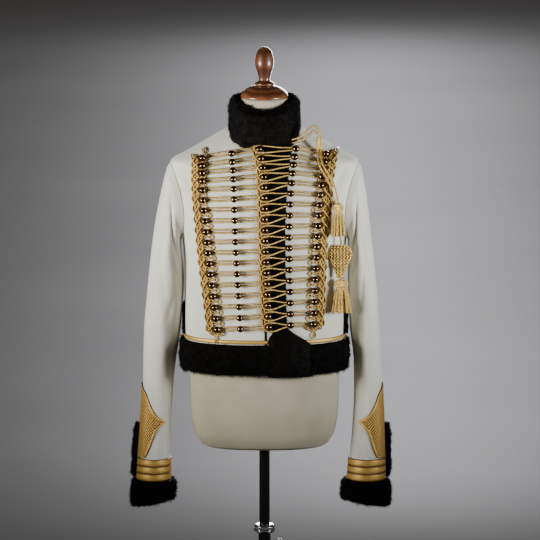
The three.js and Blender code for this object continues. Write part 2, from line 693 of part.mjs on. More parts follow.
function buildCuffLace(label, side) {
  const place = (angle, z, out) => sleevePoint(side, angle, sleeveRow(side, z), out);
  const band = {
    across: SLEEVE_ANGLES,
    along: [LACE_BAND.bottom, LACE_BAND.top - SEAM],
    place,
    low: () => LIFT,
    high: () => LIFT + LACE_HEIGHT,
    closed: true,
  };
  addNode(`lace_band_${label}`, wall(band), "gold");
  const around = SLEEVE_ANGLES.map((angle) => (angle > 180 ? angle - 360 : angle)).sort((a, b) => a - b);
  const edge = (angle, column) => tableValue(LACE_SPEAR, "angle", Math.abs(angle), column);
  const spear = {
    across: [-SPEAR_REACH, ...around.filter((angle) => Math.abs(angle) < SPEAR_REACH - 3), SPEAR_REACH],
    along: [0, 0.5, 1],
    place: (angle, v, out) => place(angle, mix(edge(angle, "low"), edge(angle, "high"), v), out),
    low: () => SPEAR_LIFT,
    high: () => SPEAR_LIFT + LACE_HEIGHT,
  };
  addNode(`lace_spear_${label}`, wall(spear), "gold");
}

function buildSlitFur(label, side) {
  const bottom = SPEAR_LIFT + LACE_HEIGHT + SEAM * 1.5;
  const place = (u, z, out) => {
    const angle = CUFF_SLIT_FUR.half_reach * (2 * u - 1);
    return sleevePoint(side, angle, sleeveRow(side, z), out);
  };
  const ends = (z) => {
    const share = (z - CUFF_SLIT_FUR.bottom) / (CUFF_SLIT_FUR.top - CUFF_SLIT_FUR.bottom);
    return rounded(THREE.MathUtils.clamp(share, 0.0, 1), 0.4);
  };
  const high = (u, z) => bottom + CUFF_SLIT_FUR.height * rounded(u, 0.4) * ends(z);
  const along = steps(4).map((v) => mix(CUFF_SLIT_FUR.bottom, CUFF_SLIT_FUR.top, v));
  addNode(`fur_slit_${label}`, wall({ across: steps(3), along, place, low: () => bottom, high }), "fur");
}

// The cords that lie side by side from one button to the next, as one flat band through the buttons
function cordBand(buttons, count) {
  const past = 2; // the band runs on under its end buttons
  const stops = buttons.map((at) => ({ ...at }));
  stops[0].x -= past;
  stops[stops.length - 1].x += past;
  const ridge = [
    [-CORD_HALF_BAND, CORD_LIFT], [-CORD_HALF_BAND / 2, CORD_LIFT + CORD_HEIGHT],
    [CORD_HALF_BAND / 2, CORD_LIFT + CORD_HEIGHT], [CORD_HALF_BAND, CORD_LIFT],
  ];
  const sections = steps(count).map((u) => {
    const part = Math.min(Math.floor(u * (stops.length - 1)), stops.length - 2);
    const share = u * (stops.length - 1) - part;
    const x = mix(stops[part].x, stops[part + 1].x, share);
    const z = mix(stops[part].z, stops[part + 1].z, share);
    return ridge.map(([rise, out]) => onFront(x, z + rise, out));
  });
  return loft(sections);
}

function ball(at) {
  const centre = onFront(at.x, at.z, BALL_OUT);
  const outward = onFront(at.x, at.z, BALL_OUT + 1).sub(centre).normalize();
  const corner = vec(0, 1, (1 + Math.sqrt(5)) / 2).normalize();
  const geometry = new THREE.IcosahedronGeometry(BALL_RADIUS * FACETED, 0);
  geometry.applyQuaternion(new THREE.Quaternion().setFromUnitVectors(corner, outward));
  return geometry.translate(centre.x, centre.y, centre.z);
}

// The button loop: a cord that runs from the fourth button over the fur and round the third
function buttonLoop(near, far, opening) {
  const over = LIFT + FUR_EDGE_HEIGHT + LOOP_RADIUS + 1;
  const leg = [
    { x: far.x - 4, rise: 1.8, out: over },
    { x: near.x + 9, rise: opening, out: over },
    { x: near.x - 3, rise: opening * 0.96, out: LIFT + 6 },
  ];
  const turn = { x: near.x - 10, rise: 0, out: CORD_LIFT + CORD_HEIGHT + 0.2 };
  const line = (point, sign) => {
    const share = (point.x - near.x) / (far.x - near.x);
    return { x: point.x, z: mix(near.z, far.z, share) + sign * point.rise, out: point.out };
  };
  const path = [
    ...leg.map((point) => line(point, 1)),
    line(turn, 1),
    ...leg.map((point) => line(point, -1)).reverse(),
  ];
  const centres = path.map((point) => onFront(point.x, point.z, point.out));
  const sections = centres.map((centre, i) => {
    const before = centres[Math.max(0, i - 1)];
    const after = centres[Math.min(centres.length - 1, i + 1)];
    const forward = after.clone().sub(before).normalize();
    const lifted = onFront(path[i].x, path[i].z, path[i].out + 2);
    const normal = lifted.sub(centre);
    normal.addScaledVector(forward, -normal.dot(forward)).normalize();
    const across = forward.clone().cross(normal);
    return [0, 1, 2].map((k) => {
      const angle = (k / 3) * 2 * Math.PI;
      return centre.clone()
        .addScaledVector(normal, LOOP_RADIUS * Math.cos(angle))
        .addScaledVector(across, LOOP_RADIUS * Math.sin(angle));
    });
  });
  return loft(sections);
}

function buildFrogging() {
  for (let row = 1; row <= ROWS; row += 1) {
    const at = [0, 1, 2, 3, 4].map((column) => columnAt(column, row));
    const next = columnAt(2, Math.min(ROWS, row + 0.5)).z;
    const last = columnAt(2, Math.max(1, row - 0.5)).z;
    const pitch = row === 1 || row === ROWS ? 2 * (last - next) : last - next;
    const opening = pitch / 2 - LOOP_RADIUS - 0.6;
    const pieces = [
      cordBand(at.slice(0, 3), 4),
      cordBand(at.slice(3), row < 3 ? 3 : 2),
      buttonLoop(at[2], at[3], opening),
      ...at.map(ball),
    ];
    addNode(`frogging_${String(row).padStart(2, "0")}`, fused(pieces), "gold");
  }
}

// The plaited border outside the first and the last button column, one scallop to each row
function buildBorder(label, column, side) {
  const nearEdge = BALL_RADIUS + 0.7;
  const foot = columnAt(column, ROWS);
  const rows = [];
  for (let row = 1; row <= ROWS; row += 1) {
    const centre = columnAt(column, row);
    const near = centre.x + side * nearEdge;
    rows.push({ z: centre.z, near, far: near + side * BORDER_WIDTH });
  }
  // Below the last row the cord ends in a knot of three loops that hangs under the button
  const knot = [
    { drop: 9.5, near: -2, far: 15 },
    { drop: 14, near: -13, far: 12 },
    { drop: 20, near: -9, far: 7 },
  ];
  for (const part of knot) {
    rows.push({ z: foot.z - part.drop, near: foot.x + side * part.near, far: foot.x + side * part.far });
  }
  const place = (u, row, out) => onFront(mix(row.near, row.far, u), row.z, out);
  const low = () => BORDER_LIFT;
  const high = () => BORDER_LIFT + BORDER_HEIGHT;
  addNode(`border_${label}`, wall({ across: [0, 1], along: rows, place, low, high }), "gold");
}

// The cord that loops over the shoulder, with its slide, tassels and woven lozenge
const LOOP_CORDS = [
  [
    [46.5, -63.6, 1262], [55, -72, 1263.5], [66, -77, 1265], [79, -77, 1268.5], [90, -73, 1278],
    [100, -69, 1285], [109, -69, 1284], [115.5, -72, 1275], [117, -75, 1266], [117, -76, 1259.8],
  ],
  [
    [50, -68.6, 1255.5], [60, -76, 1257], [70, -78, 1258.5], [83, -80, 1261.5], [94, -76, 1270],
    [101.5, -72.5, 1276.5], [107, -72.5, 1275.5], [110.5, -74, 1269], [111, -76, 1259.8],
  ],
];
const SLIDE = { x: 114, y: -76, bottom: 1239, top: 1259, radius: 6.4 };
const DROP_SHORT = [
  [117, -76, 1237.6], [117, -80, 1232], [118, -92, 1222], [124, -111, 1206], [136, -111, 1185],
  [147, -106, 1160], [153.5, -103, 1129.5],
];
const DROP_LONG = [
  [111, -76, 1237.6], [111, -80.5, 1231.5], [112, -92.5, 1221], [116.5, -111, 1205], [128.5, -111.5, 1184],
  [137, -104, 1163], [143, -94.5, 1143], [148, -87.5, 1126], [153, -84, 1100], [157, -84, 1068],
  [160, -84, 1038.5],
];
const TASSEL_SHORT = {
  x: 154, y: -103, top: 1129, head: 24, skirt: 49, head_radius: 11.5, foot_radius: 15.5, strands: 14,
};
const TASSEL_LONG = {
  x: 161, y: -84, top: 965.5, head: 23, skirt: 52, head_radius: 14.5, foot_radius: 22, strands: 19,
};
// A tassel's head as shares of its radius and height, a knob over a narrow neck and a collar
const TASSEL_HEAD = [
  [0, -1], [0.84, -1], [0.8, -0.92], [0.66, -0.8], [0.86, -0.68], [1, -0.42], [0.8, -0.16], [0.35, 0], [0, 0],
];
const TASSEL_FLAT = 0.78; // a tassel that lies on the cloth is flatter than it is wide
const SLIDE_PROFILE = [[0, 0], [0.7, 0], [1, 0.2], [1, 0.8], [0.7, 1], [0, 1]];
const LOZENGE = { x: 158, y: -84, thick: 6 };
// Half width of the woven lozenge down its length, from its top
const LOZENGE_ROWS = [
  { z: 1038, half: 6 }, { z: 1035, half: 16 }, { z: 1028, half: 23 }, { z: 1019, half: 25 },
  { z: 1003, half: 19 }, { z: 986, half: 12 }, { z: 972, half: 8 }, { z: 966, half: 6 },
];

function buildTassel(name, size) {
  const head = turned(TASSEL_HEAD.map(([r, z]) => [r * size.head_radius, z * size.head]), 10);
  head.scale(1, TASSEL_FLAT, 1).translate(size.x, size.y, size.top);
  const pieces = [head];
  const root = size.top - size.head;
  for (let k = 0; k < size.strands; k += 1) {
    const inner = k % 3 === 2;
    const angle = (k / size.strands) * 2 * Math.PI;
    const share = inner ? 0.5 : 1;
    const start = size.head_radius * 0.66 * share;
    const end = size.foot_radius * share;
    const drop = size.skirt * (0.94 + 0.06 * Math.sin(k * 2.4));
    const thick = inner ? 1.3 : 1.55;
    const at = (radius, z, width) => [0, 1, 2].map((corner) => {
      const turn = angle + (corner / 3) * 2 * Math.PI;
      const x = radius * Math.cos(angle) + width * Math.cos(turn);
      const y = radius * Math.sin(angle) + width * Math.sin(turn);
      return vec(size.x + x, size.y + TASSEL_FLAT * y, z);
    });
    pieces.push(loft([at(start, root + 2, thick), at(end, root - drop, thick)]));
  }
  addNode(name, fused(pieces), "gold");
}

function buildLozenge() {
  const thick = LOZENGE.thick / 2;
  const bow = LOZENGE.thick * 0.2;
  const sections = LOZENGE_ROWS.map(({ z, half }) => {
    const corners = [[-1, 0], [-0.5, -thick], [0.5, -thick - bow], [1, 0], [0, thick]];
    return corners.map(([share, y]) => vec(LOZENGE.x + share * half, LOZENGE.y + y, z));
  });
  addNode("lozenge", loft(sections), "gold");
}

function buildCords() {
  const points = (list) => list.map(([x, y, z]) => vec(x, y, z));
  const cord = (list) => tube(points(list), CORD_RADIUS, 8);
  addNode("cord_loop_1", cord(LOOP_CORDS[0]), "gold");
  addNode("cord_loop_2", cord(LOOP_CORDS[1]), "gold");
  addNode("cord_drop_short", cord(DROP_SHORT), "gold");
  addNode("cord_drop_long", cord(DROP_LONG), "gold");
  const height = SLIDE.top - SLIDE.bottom;
  const slide = turned(SLIDE_PROFILE.map(([r, z]) => [r * SLIDE.radius, z * height]), 10);
  addNode("cord_slide", slide.translate(SLIDE.x, SLIDE.y, SLIDE.bottom), "gold");
  buildTassel("tassel_short", TASSEL_SHORT);
  buildLozenge();
  buildTassel("tassel_long", TASSEL_LONG);
}

function buildForm() {
  const sections = FORM.map((row) => steps(FORM_COLUMNS).slice(0, FORM_COLUMNS).map((u) => {
    const turn = u * 2 * Math.PI;
    const depth = Math.cos(turn) > 0 ? row.front : row.back;
    const exponent = row.z > 1260 ? 1 : 2 / SQUARE;
    return vec(row.half * power(Math.sin(turn), exponent), -depth * power(Math.cos(turn), exponent), row.z);
  }));
  addNode("form_torso", loft(sections), "linen");
  addNode("form_neck_cap", turned(NECK_CAP), "wood");
  addNode("form_finial", turned(FINIAL, 12), "wood");
}

function buildStand() {
  const rod = [[0, POLE_BOTTOM], [POLE_RADIUS, POLE_BOTTOM], [POLE_RADIUS, POLE_TOP], [0, POLE_TOP]];
  addNode("pole", turned(rod), "black");
  const { inside, outside, bottom, top } = TUBE;
  const hollow = [[inside, bottom], [outside, bottom], [outside, top], [inside, top], [inside, bottom]];
  addNode("stand_tube", turned(hollow), "black");
  const low = [inside, RING_PROFILE[0][1]];
  const high = [inside, RING_PROFILE[RING_PROFILE.length - 1][1]];
  addNode("clamp_ring", turned([low, ...RING_PROFILE, high, low]), "chrome");
  const knobProfile = [
    [0, KNOB.stem_start], [KNOB.stem_radius, KNOB.stem_start], [KNOB.stem_radius, KNOB.head_start],
    [KNOB.head_radius - 2, KNOB.head_start], [KNOB.head_radius, KNOB.head_start + 3],
    [KNOB.head_radius, KNOB.head_end - 3], [KNOB.head_radius - 2, KNOB.head_end], [0, KNOB.head_end],
  ];
  const knob = turned(knobProfile, 12).rotateY(Math.PI / 2).translate(0, 0, KNOB.z);
  addNode("clamp_knob", knob, "black");
  const socket = bottom - SEAM;
  addNode("base", turned([...BASE_PROFILE, [SOCKET_RADIUS, socket], [0, socket]], 20), "black");
}

buildFront("front_left", -1);
buildFront("front_right", 1);
buildBack();
buildSleeve("left", -1);
buildSleeve("right", 1);
buildEdgeFur();
buildHemFur();
buildHemBraid();
buildVentFur("fur_vent_left", FUR_VENT_LEFT);
buildVentFur("fur_vent_right", FUR_VENT_RIGHT);
buildCollar();
for (const [label, side] of [["left", -1], ["right", 1]]) {
  buildCuffFur(label, side);
  buildCuffLace(label, side);
  buildSlitFur(label, side);
}
buildFrogging();
buildBorder("left", 0, -1);
buildBorder("right", 4, 1);
buildCords();
buildForm();
buildStand();

export default group;
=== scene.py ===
# A hussar's pelisse on a limbless dress form, dressed over the part's own solids.
# Shapes are worked out in millimetres, in the part's frame, and become metres in the meshes.
import bpy
import math
import numpy as np
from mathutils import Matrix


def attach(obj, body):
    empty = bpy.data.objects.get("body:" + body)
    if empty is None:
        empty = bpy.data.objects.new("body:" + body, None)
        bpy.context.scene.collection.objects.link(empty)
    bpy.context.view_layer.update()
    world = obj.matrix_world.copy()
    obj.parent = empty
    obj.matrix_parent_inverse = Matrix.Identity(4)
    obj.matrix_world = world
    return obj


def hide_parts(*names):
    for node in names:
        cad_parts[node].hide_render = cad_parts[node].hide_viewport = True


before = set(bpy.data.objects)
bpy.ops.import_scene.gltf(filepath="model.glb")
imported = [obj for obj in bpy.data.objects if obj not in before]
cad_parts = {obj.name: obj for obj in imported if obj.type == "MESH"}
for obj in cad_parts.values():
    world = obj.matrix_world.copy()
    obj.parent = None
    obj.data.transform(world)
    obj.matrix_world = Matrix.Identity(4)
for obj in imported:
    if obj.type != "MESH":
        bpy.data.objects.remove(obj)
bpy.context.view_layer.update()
METRE = 0.001
chance = np.random.default_rng(1815)
UV_PER_MM = 0.1

# Camera and framing: 2.1 mm to a pixel of a 540-pixel picture, seen from 9 degrees above
PICTURE_MM = 540 * 2.1
CAMERA_AWAY = 16000
CAMERA_RISE = math.radians(9)
CAMERA_TARGET = (11.6, 0, 971.4)
SENSOR_MM = 36
CAMERA_SEES = 200

# Cloth and seams, as in the solids
CLOTH = 2.4
SEAM = 0.4
SQUARE = 2.4
NORMAL_STEP = 0.4
LIFT = 0.9
BODY = [
    (766, 165, 115, 111), (830, 166.5, 113, 108), (870, 167.5, 110, 102), (920, 167, 109, 99),
    (984, 167.5, 113, 102), (1036, 171, 118, 108), (1080, 176, 121, 111), (1125, 184, 120, 111),
    (1170, 192, 113, 106), (1204, 196, 102, 96), (1222, 166, 94, 88), (1240, 135, 82, 79),
    (1258, 104, 70, 70), (1282, 62, 54, 58),
]
OPENING_X = 6
NECK_RADIUS = 66
ARMHOLE_Z = 1122
ARMHOLE_HALF_HEIGHT = 80
ARMHOLE_HALF_WIDTH = 56
ARMHOLE_STEP = 0.7
ARMHOLE_BOTTOM = 1042
HEM_Z = 772
NECK_Z = 1277

# Folds of the body: place round it, height, slant, width, length and depth
BODY_FOLDS = [
    (52, 1172, 0.16, 5, 34, 4.5), (-54, 1164, -0.14, 5, 36, 4), (70, 985, 0.05, 7, 60, 4),
    (-68, 965, -0.04, 7, 66, 4.5), (128, 940, 0.03, 8, 80, 4), (-132, 955, -0.04, 8, 74, 4),
    (152, 1130, 0.12, 7, 46, 3.5), (-150, 1122, -0.12, 7, 50, 3.5),
]
# Finer creases that the solids leave out
BODY_CREASES = [
    (61, 1140, 0.22, 2.6, 26, 1.6), (46, 1150, 0.1, 2.2, 20, 1.1), (-62, 1128, -0.2, 2.8, 24, 1.5),
    (77, 930, 0.03, 3.2, 40, 1.5), (-79, 1010, -0.05, 3, 34, 1.4), (-74, 905, 0.04, 2.6, 22, 1.0),
    (104, 1075, 0.1, 3.4, 30, 1.3), (-108, 1060, -0.12, 3.2, 34, 1.4), (118, 880, 0.03, 4, 44, 1.6),
    (-120, 890, -0.02, 4, 40, 1.5), (165, 905, 0.02, 5, 52, 1.7), (-170, 930, -0.02, 5, 60, 1.6),
    (140, 1020, 0.04, 4, 40, 1.4), (-143, 1035, -0.05, 4, 46, 1.3), (176, 1160, 0.05, 5, 30, 1.2),
]
# Sleeve rings from the shoulder to the cuff: inner x and z, outer x and z, depth and middle
SLEEVE_LEFT = [
    (175, 1036, 204, 1190, 57, 0), (175, 1024, 211, 1164, 57, 0), (173, 1004, 219, 1128, 56, 0),
    (170, 980, 231, 1062, 54, 0), (169, 950, 240, 990, 52, 0), (171, 905, 247, 918, 51, 1),
    (176, 848, 253, 850, 50, 1), (186, 780, 255, 780, 49, -2), (192, 715, 256, 715, 47, -7),
    (196, 645, 260, 645, 45, -13), (199, 575, 265, 575, 44, -19), (200, 482, 270, 482, 45, -24),
]
SLEEVE_RIGHT = [
    (175, 1036, 203, 1190, 57, 0), (175, 1024, 208, 1164, 57, 0), (175, 1004, 214, 1128, 56, 0),
    (175, 980, 222, 1062, 54, 0), (175, 950, 230, 990, 52, 0), (176, 905, 237, 918, 51, 1),
    (179, 848, 242, 850, 50, 1), (187, 780, 245, 780, 49, -2), (188, 715, 247, 715, 47, -7),
    (185, 645, 250, 645, 45, -13), (179, 575, 252, 575, 44, -19), (172, 482, 254, 482, 46, -24),
]
HIND_SEAM = -18
FORE_SEAM = 158
# Folds of a sleeve: angle, ring, slant, width, length and depth
SLEEVE_FOLDS = [
    (98, 1.6, 16, 17, 1.5, 8), (62, 3.2, -9, 14, 1.4, 4.5), (118, 6.2, 10, 18, 1.3, 5),
    (150, 6.9, -8, 18, 0.9, 4), (-62, 4.6, 10, 16, 1.4, 5), (-118, 6.5, -12, 18, 1.1, 5),
]
SLEEVE_CREASES = [
    (128, 2.3, 20, 9, 0.9, 4.0), (80, 4.4, 18, 9, 0.8, 3.0), (112, 3.4, 26, 8, 0.8, 3.4),
    (112, 5.2, -22, 8, 0.6, 2.8), (70, 6.0, 24, 8, 0.5, 1.6), (134, 7.2, 16, 9, 0.5, 1.6),
    (48, 7.6, -14, 8, 0.7, 1.2),
    (-40, 3.0, 14, 8, 0.9, 1.7), (-88, 5.4, 20, 9, 0.6, 2.0), (-130, 4.0, -16, 9, 0.8, 1.8),
    (-70, 7.4, -18, 8, 0.6, 1.5), (20, 2.4, 10, 9, 0.8, 1.4), (172, 5.0, 12, 9, 0.6, 1.8),
]

# Frogging
ROWS = 18
BALL_RADIUS = 7.4
BALL_OUT = 9.9
CORD = 2.4
CORD_APART = 3.3
CORD_OUT = 2.1
KNOT_ROWS = [1, 4, 10, 18]
COLUMN_X = [
    [-129.4, -129.8, -120.1, -99.1], [-68.7, -64.5, -60.5, -50.2], [-10.9, -1, 2.2, 9.3],
    [66, 58.6, 51.6, 55.2], [128.5, 120.5, 110.5, 102.3],
]
COLUMN_Z = [
    [1221, 1175, 1046, 862], [1232, 1181, 1050, 865], [1241, 1186, 1053, 869],
    [1241, 1193, 1060, 873], [1229, 1185, 1060, 873],
]
PAST_ROWS = 22
WIDE_CURLS = 7
BORDER_NEAR = 7.8

# Fur, braid and lace
FUR_EDGE_HEIGHT = 8.4
FUR_EDGE_TOP = 1242
FUR_TAIL = {"bottom": 762, "right": 101, "height": 19}
HEM_FUR = {"bottom": 766, "top": 830, "height": 12}
HEM_BRAID = {"bottom": 831.5, "top": 840}
VENT_HALF_ANGLE = 10
VENT_LEFT = {"middle": 269, "top": 905, "height": 4}
VENT_RIGHT = {"middle": 91, "top": 890, "height": 8}
COLLAR = {"inside": 51, "outside": 78, "front": 1320, "side": 1343, "back": 1347, "opening": 4.5}
CUFF_FUR = {"bottom": 476, "top": 532, "height": 14}
CUFF_TILT = 15
SLIT_FUR = {"bottom": 536, "top": 650, "half_reach": 13, "height": 12, "lift": 4.1}
LACE_BAND = (531.5, 577.6)
SPEAR_REACH = 124
SPEAR_ANGLE = [0, 40, 55, 70, 93, 124]
SPEAR_LOW = [578, 578.4, 580, 598, 636, 655]
SPEAR_HIGH = [734, 716, 703, 687, 669, 658]

# The hanging cord, its route as in the solids
LOOP_CORDS = [
    [
        (46.5, -63.6, 1256), (55, -68, 1257), (66, -75, 1260.5), (79, -77, 1267), (90, -73, 1278),
        (100, -69, 1285), (109, -69, 1284), (115.5, -72, 1275), (117, -75, 1266), (117, -76, 1259.8),
    ],
    [
        (50, -67, 1250), (60, -73, 1251.5), (70, -77, 1254.5), (83, -79.5, 1260.5), (94, -76, 1270),
        (101.5, -72.5, 1276.5), (107, -72.5, 1275.5), (110.5, -74, 1269), (111, -76, 1259.8),
    ],
]
DROP_SHORT = [
    (117, -76, 1237.6), (117, -80, 1232), (118, -92, 1222), (124, -111, 1206), (136, -111, 1185),
    (147, -106, 1160), (153.5, -103, 1129.5),
]
DROP_LONG = [
    (111, -76, 1237.6), (111, -80.5, 1231.5), (112, -92.5, 1221), (116.5, -111, 1205),
    (128.5, -111.5, 1184), (137, -104, 1163), (143, -94.5, 1143), (148, -87.5, 1126),
    (153, -84, 1100), (157, -84, 1068), (160, -84, 1038.5),
]
# The long cord runs on inside the plaited lozenge to the head of its tassel
INSIDE_LOZENGE = [(159, -84, 1020), (159, -84, 1000), (160, -84, 980), (161, -84, 954)]
HANGING_RADIUS = 2.3
SLIDE = {"x": 114, "y": -76, "bottom": 1239, "top": 1259, "radius": 6.4}
TASSEL_SHORT = {
    "x": 154, "y": -103, "top": 1129, "head": 24, "skirt": 49,
    "radius": 11.5, "foot": 15.5, "strands": 11, "thick": 2.9,
}
TASSEL_LONG = {
    "x": 161, "y": -84, "top": 965.5, "head": 23, "skirt": 52,
    "radius": 14.5, "foot": 22, "strands": 13, "thick": 3.4,
}
# A tassel's head as shares of its radius and its height, from its foot up
TASSEL_HEAD = [
    (0.05, -1), (0.84, -1), (0.86, -0.93), (0.66, -0.82), (0.88, -0.68), (1, -0.42), (0.8, -0.16),
    (0.42, -0.02), (0.05, 0),
]
SLIDE_SHAPE = [(0.05, 0), (0.72, 0), (1, 0.22), (0.9, 0.5), (1, 0.78), (0.72, 1), (0.05, 1)]
TASSEL_FLAT = 0.78
LOZENGE = {"x": 158, "y": -84}
LOZENGE_Z = [966, 972, 986, 1003, 1019, 1028, 1035, 1038]
LOZENGE_HALF = [6, 8, 12, 19, 25, 23, 16, 6]

# Dress form and stand
FORM = [
    (600, 121, 76, 80), (606, 133, 88, 92), (636, 149, 100, 105), (690, 156, 105, 109),
    (750, 157, 106, 108), (830, 156, 103, 101), (900, 155, 99, 92), (1040, 161, 108, 101),
    (1110, 170, 111, 103), (1160, 179, 104, 98), (1190, 187, 99, 94), (1204, 184, 93, 88),
    (1222, 155, 86, 80), (1240, 124, 74, 71), (1257, 93, 62, 62), (1266, 50, 50, 50), (1337, 50, 50, 50),
]
FORM_EDGE = 12
# Between these heights the form's section turns from square to round
FORM_ROUNDS = (1220, 1262)
NECK_CAP = [(49.4, 1337.5), (50.2, 1341), (45, 1350), (34, 1357.5), (22, 1362.2), (8, 1363)]
FINIAL = [
    (20, 1363.4), (21, 1367), (13.4, 1371.5), (11.7, 1377), (15.4, 1392), (19, 1404), (19.4, 1416),
    (16, 1432), (9, 1441), (2, 1443.8),
]
POLE = {"radius": 11, "bottom": 190, "top": 599.6}
TUBE = {"inside": 11.5, "outside": 12.8, "bottom": 20, "top": 411.6}
RING = [(20, 412), (23, 417), (20.4, 420.6), (22, 425), (18, 429)]
KNOB = {"z": 386, "stem": 4, "start": 13.4, "head_start": 26, "head_end": 40, "head": 11.5}
BASE = [(186, 0), (190, 4), (190, 12), (184, 17), (40, 21), (30, 34), (13.3, 34)]


# Camera

def make_camera():
    away = np.array([0, -math.cos(CAMERA_RISE), math.sin(CAMERA_RISE)]) * CAMERA_AWAY
    bpy.ops.object.select_all(action="DESELECT")
    place = (np.array(CAMERA_TARGET) + away) * METRE
    bpy.ops.object.camera_add(location=place, rotation=(math.pi / 2 - CAMERA_RISE, 0, 0))
    camera = bpy.context.object
    camera.name = "camera"
    camera.data.sensor_width = SENSOR_MM
    camera.data.lens = SENSOR_MM * CAMERA_AWAY / PICTURE_MM
    camera.data.clip_end = CAMERA_SEES
    bpy.context.scene.camera = camera


make_camera()


# Materials

def tone(hex_colour):
    """An sRGB hex colour as the linear value that a shader takes."""
    parts = [int(hex_colour[i:i + 2], 16) / 255 for i in (1, 3, 5)]
    return (*[c / 12.92 if c <= 0.04045 else ((c + 0.055) / 1.055) ** 2.4 for c in parts], 1)


def add_node(tree, kind, inputs=None, **settings):
    """Adds a node with its settings, and sets or links its inputs."""
    made = tree.nodes.new(kind)
    for name, value in settings.items():
        setattr(made, name, value)
    for key, value in (inputs or {}).items():
        if isinstance(value, bpy.types.NodeSocket):
            tree.links.new(value, made.inputs[key])
        else:
            made.inputs[key].default_value = value
    return made


def start_material(name, **constants):
    """A material with its node tree, its shader and the Object coordinates."""
    material = bpy.data.materials.new(name)
    material.use_nodes = True
    tree = material.node_tree
    shader = tree.nodes["Principled BSDF"]
    for key, value in constants.items():
        shader.inputs[key.replace("_", " ")].default_value = value
    return material, tree, shader, add_node(tree, "ShaderNodeTexCoord").outputs["Object"]


def noise(tree, place, scale, detail=2, **more):
    inputs = {"Vector": place, "Scale": scale, "Detail": detail, **more}
    return add_node(tree, "ShaderNodeTexNoise", inputs).outputs["Fac"]


def two_tones(tree, factor, low, high, start=0.3, end=0.7):
    ramp = add_node(tree, "ShaderNodeValToRGB", {"Fac": factor})
    for element, position, colour in zip(ramp.color_ramp.elements, (start, end), (low, high)):
        element.position = position
        element.color = tone(colour)
    return ramp.outputs["Color"]


def paint(tree, shader, *tones):
    tree.links.new(two_tones(tree, *tones), shader.inputs["Base Color"])


def roughen(tree, shader, factor, low, high):
    dull = add_node(tree, "ShaderNodeMapRange", {"Value": factor, "To Min": low, "To Max": high})
    tree.links.new(dull.outputs["Result"], shader.inputs["Roughness"])


def raise_by(tree, shader, height, strength, distance, over=None):
    """A bump on the shader, over another bump where one is given."""
    inputs = {"Height": height, "Strength": strength, "Distance": distance}
    if over is not None:
        inputs["Normal"] = over
    bump = add_node(tree, "ShaderNodeBump", inputs).outputs["Normal"]
    tree.links.new(bump, shader.inputs["Normal"])
    return bump


# Sockets of a colour Mix node
MIX_FACTOR, MIX_A, MIX_B, MIX_RESULT = 0, 6, 7, 2


def milled_broadcloth():
    # Fulled ivory wool, its weave closed by milling, which leaves a short dull nap and faint soiling
    material, tree, shader, place = start_material(
        "milled ivory broadcloth", Roughness=0.92, Sheen_Weight=0.18, Sheen_Roughness=0.5)
    soil = noise(tree, place, 9, 5, Roughness=0.6)
    nap = noise(tree, place, 620, 3, Roughness=0.65)
    slanted = add_node(tree, "ShaderNodeMapping", {"Vector": place, "Rotation": (0, 0.9, 0)})
    twill = add_node(tree, "ShaderNodeTexWave", {
        "Vector": slanted.outputs["Vector"], "Scale": 210, "Distortion": 5, "Detail": 2, "Detail Scale": 2,
    }, bands_direction="Z")
    ground = two_tones(tree, soil, "#D5D3C6", "#E4E3D9")
    fibres = add_node(tree, "ShaderNodeMix", {
        MIX_FACTOR: nap, MIX_A: tone("#E6E4DC"), MIX_B: tone("#FFFFFF"),
    }, data_type="RGBA")
    mixed = add_node(tree, "ShaderNodeMix", {
        MIX_FACTOR: 1.0, MIX_A: ground, MIX_B: fibres.outputs[MIX_RESULT],
    }, data_type="RGBA", blend_type="MULTIPLY")
    tree.links.new(mixed.outputs[MIX_RESULT], shader.inputs["Base Color"])
    woven = raise_by(tree, shader, twill.outputs["Fac"], 0.10, 0.0004)
    raise_by(tree, shader, nap, 0.28, 0.0006, woven)
    return material


def curled_fur():
    # Dyed curled pelt, almost black, whose hairs catch a dull brown light at their sides
    material, tree, shader, place = start_material("dyed curled fur", Roughness=0.7, Specular_IOR_Level=0.12)
    paint(tree, shader, noise(tree, place, 130, 3, Roughness=0.6), "#030202", "#14100C")
    raise_by(tree, shader, noise(tree, place, 900), 0.5, 0.001)
    return material


def metal_thread(name, dark, light, roughness, metallic, threads):
    # Gilt wire and strip wound over a silk core, so the light runs in short diagonal glints
    material, tree, shader, place = start_material(name, Roughness=roughness, Metallic=metallic)
    along = add_node(tree, "ShaderNodeUVMap").outputs["UV"]
    turned = add_node(tree, "ShaderNodeMapping", {"Vector": along, "Scale": (2, threads, 1)})
    wound = add_node(tree, "ShaderNodeTexWave", {
        "Vector": turned.outputs["Vector"], "Scale": 1.0, "Distortion": 0.6, "Detail": 1,
    }, bands_direction="DIAGONAL")
    paint(tree, shader, noise(tree, place, 260, 3, Roughness=0.6), dark, light)
    raise_by(tree, shader, wound.outputs["Fac"], 0.45, 0.0005)
    return material


def gilt_brass():
    # Stamped brass domes, fire gilt and a little worn, mirror bright with a warm copper tone
    material, tree, shader, place = start_material("fire gilt brass", Metallic=1.0)
    worn = noise(tree, place, 90, 4, Roughness=0.6)
    paint(tree, shader, worn, "#5C4630", "#84694A")
    roughen(tree, shader, worn, 0.10, 0.20)
    return material


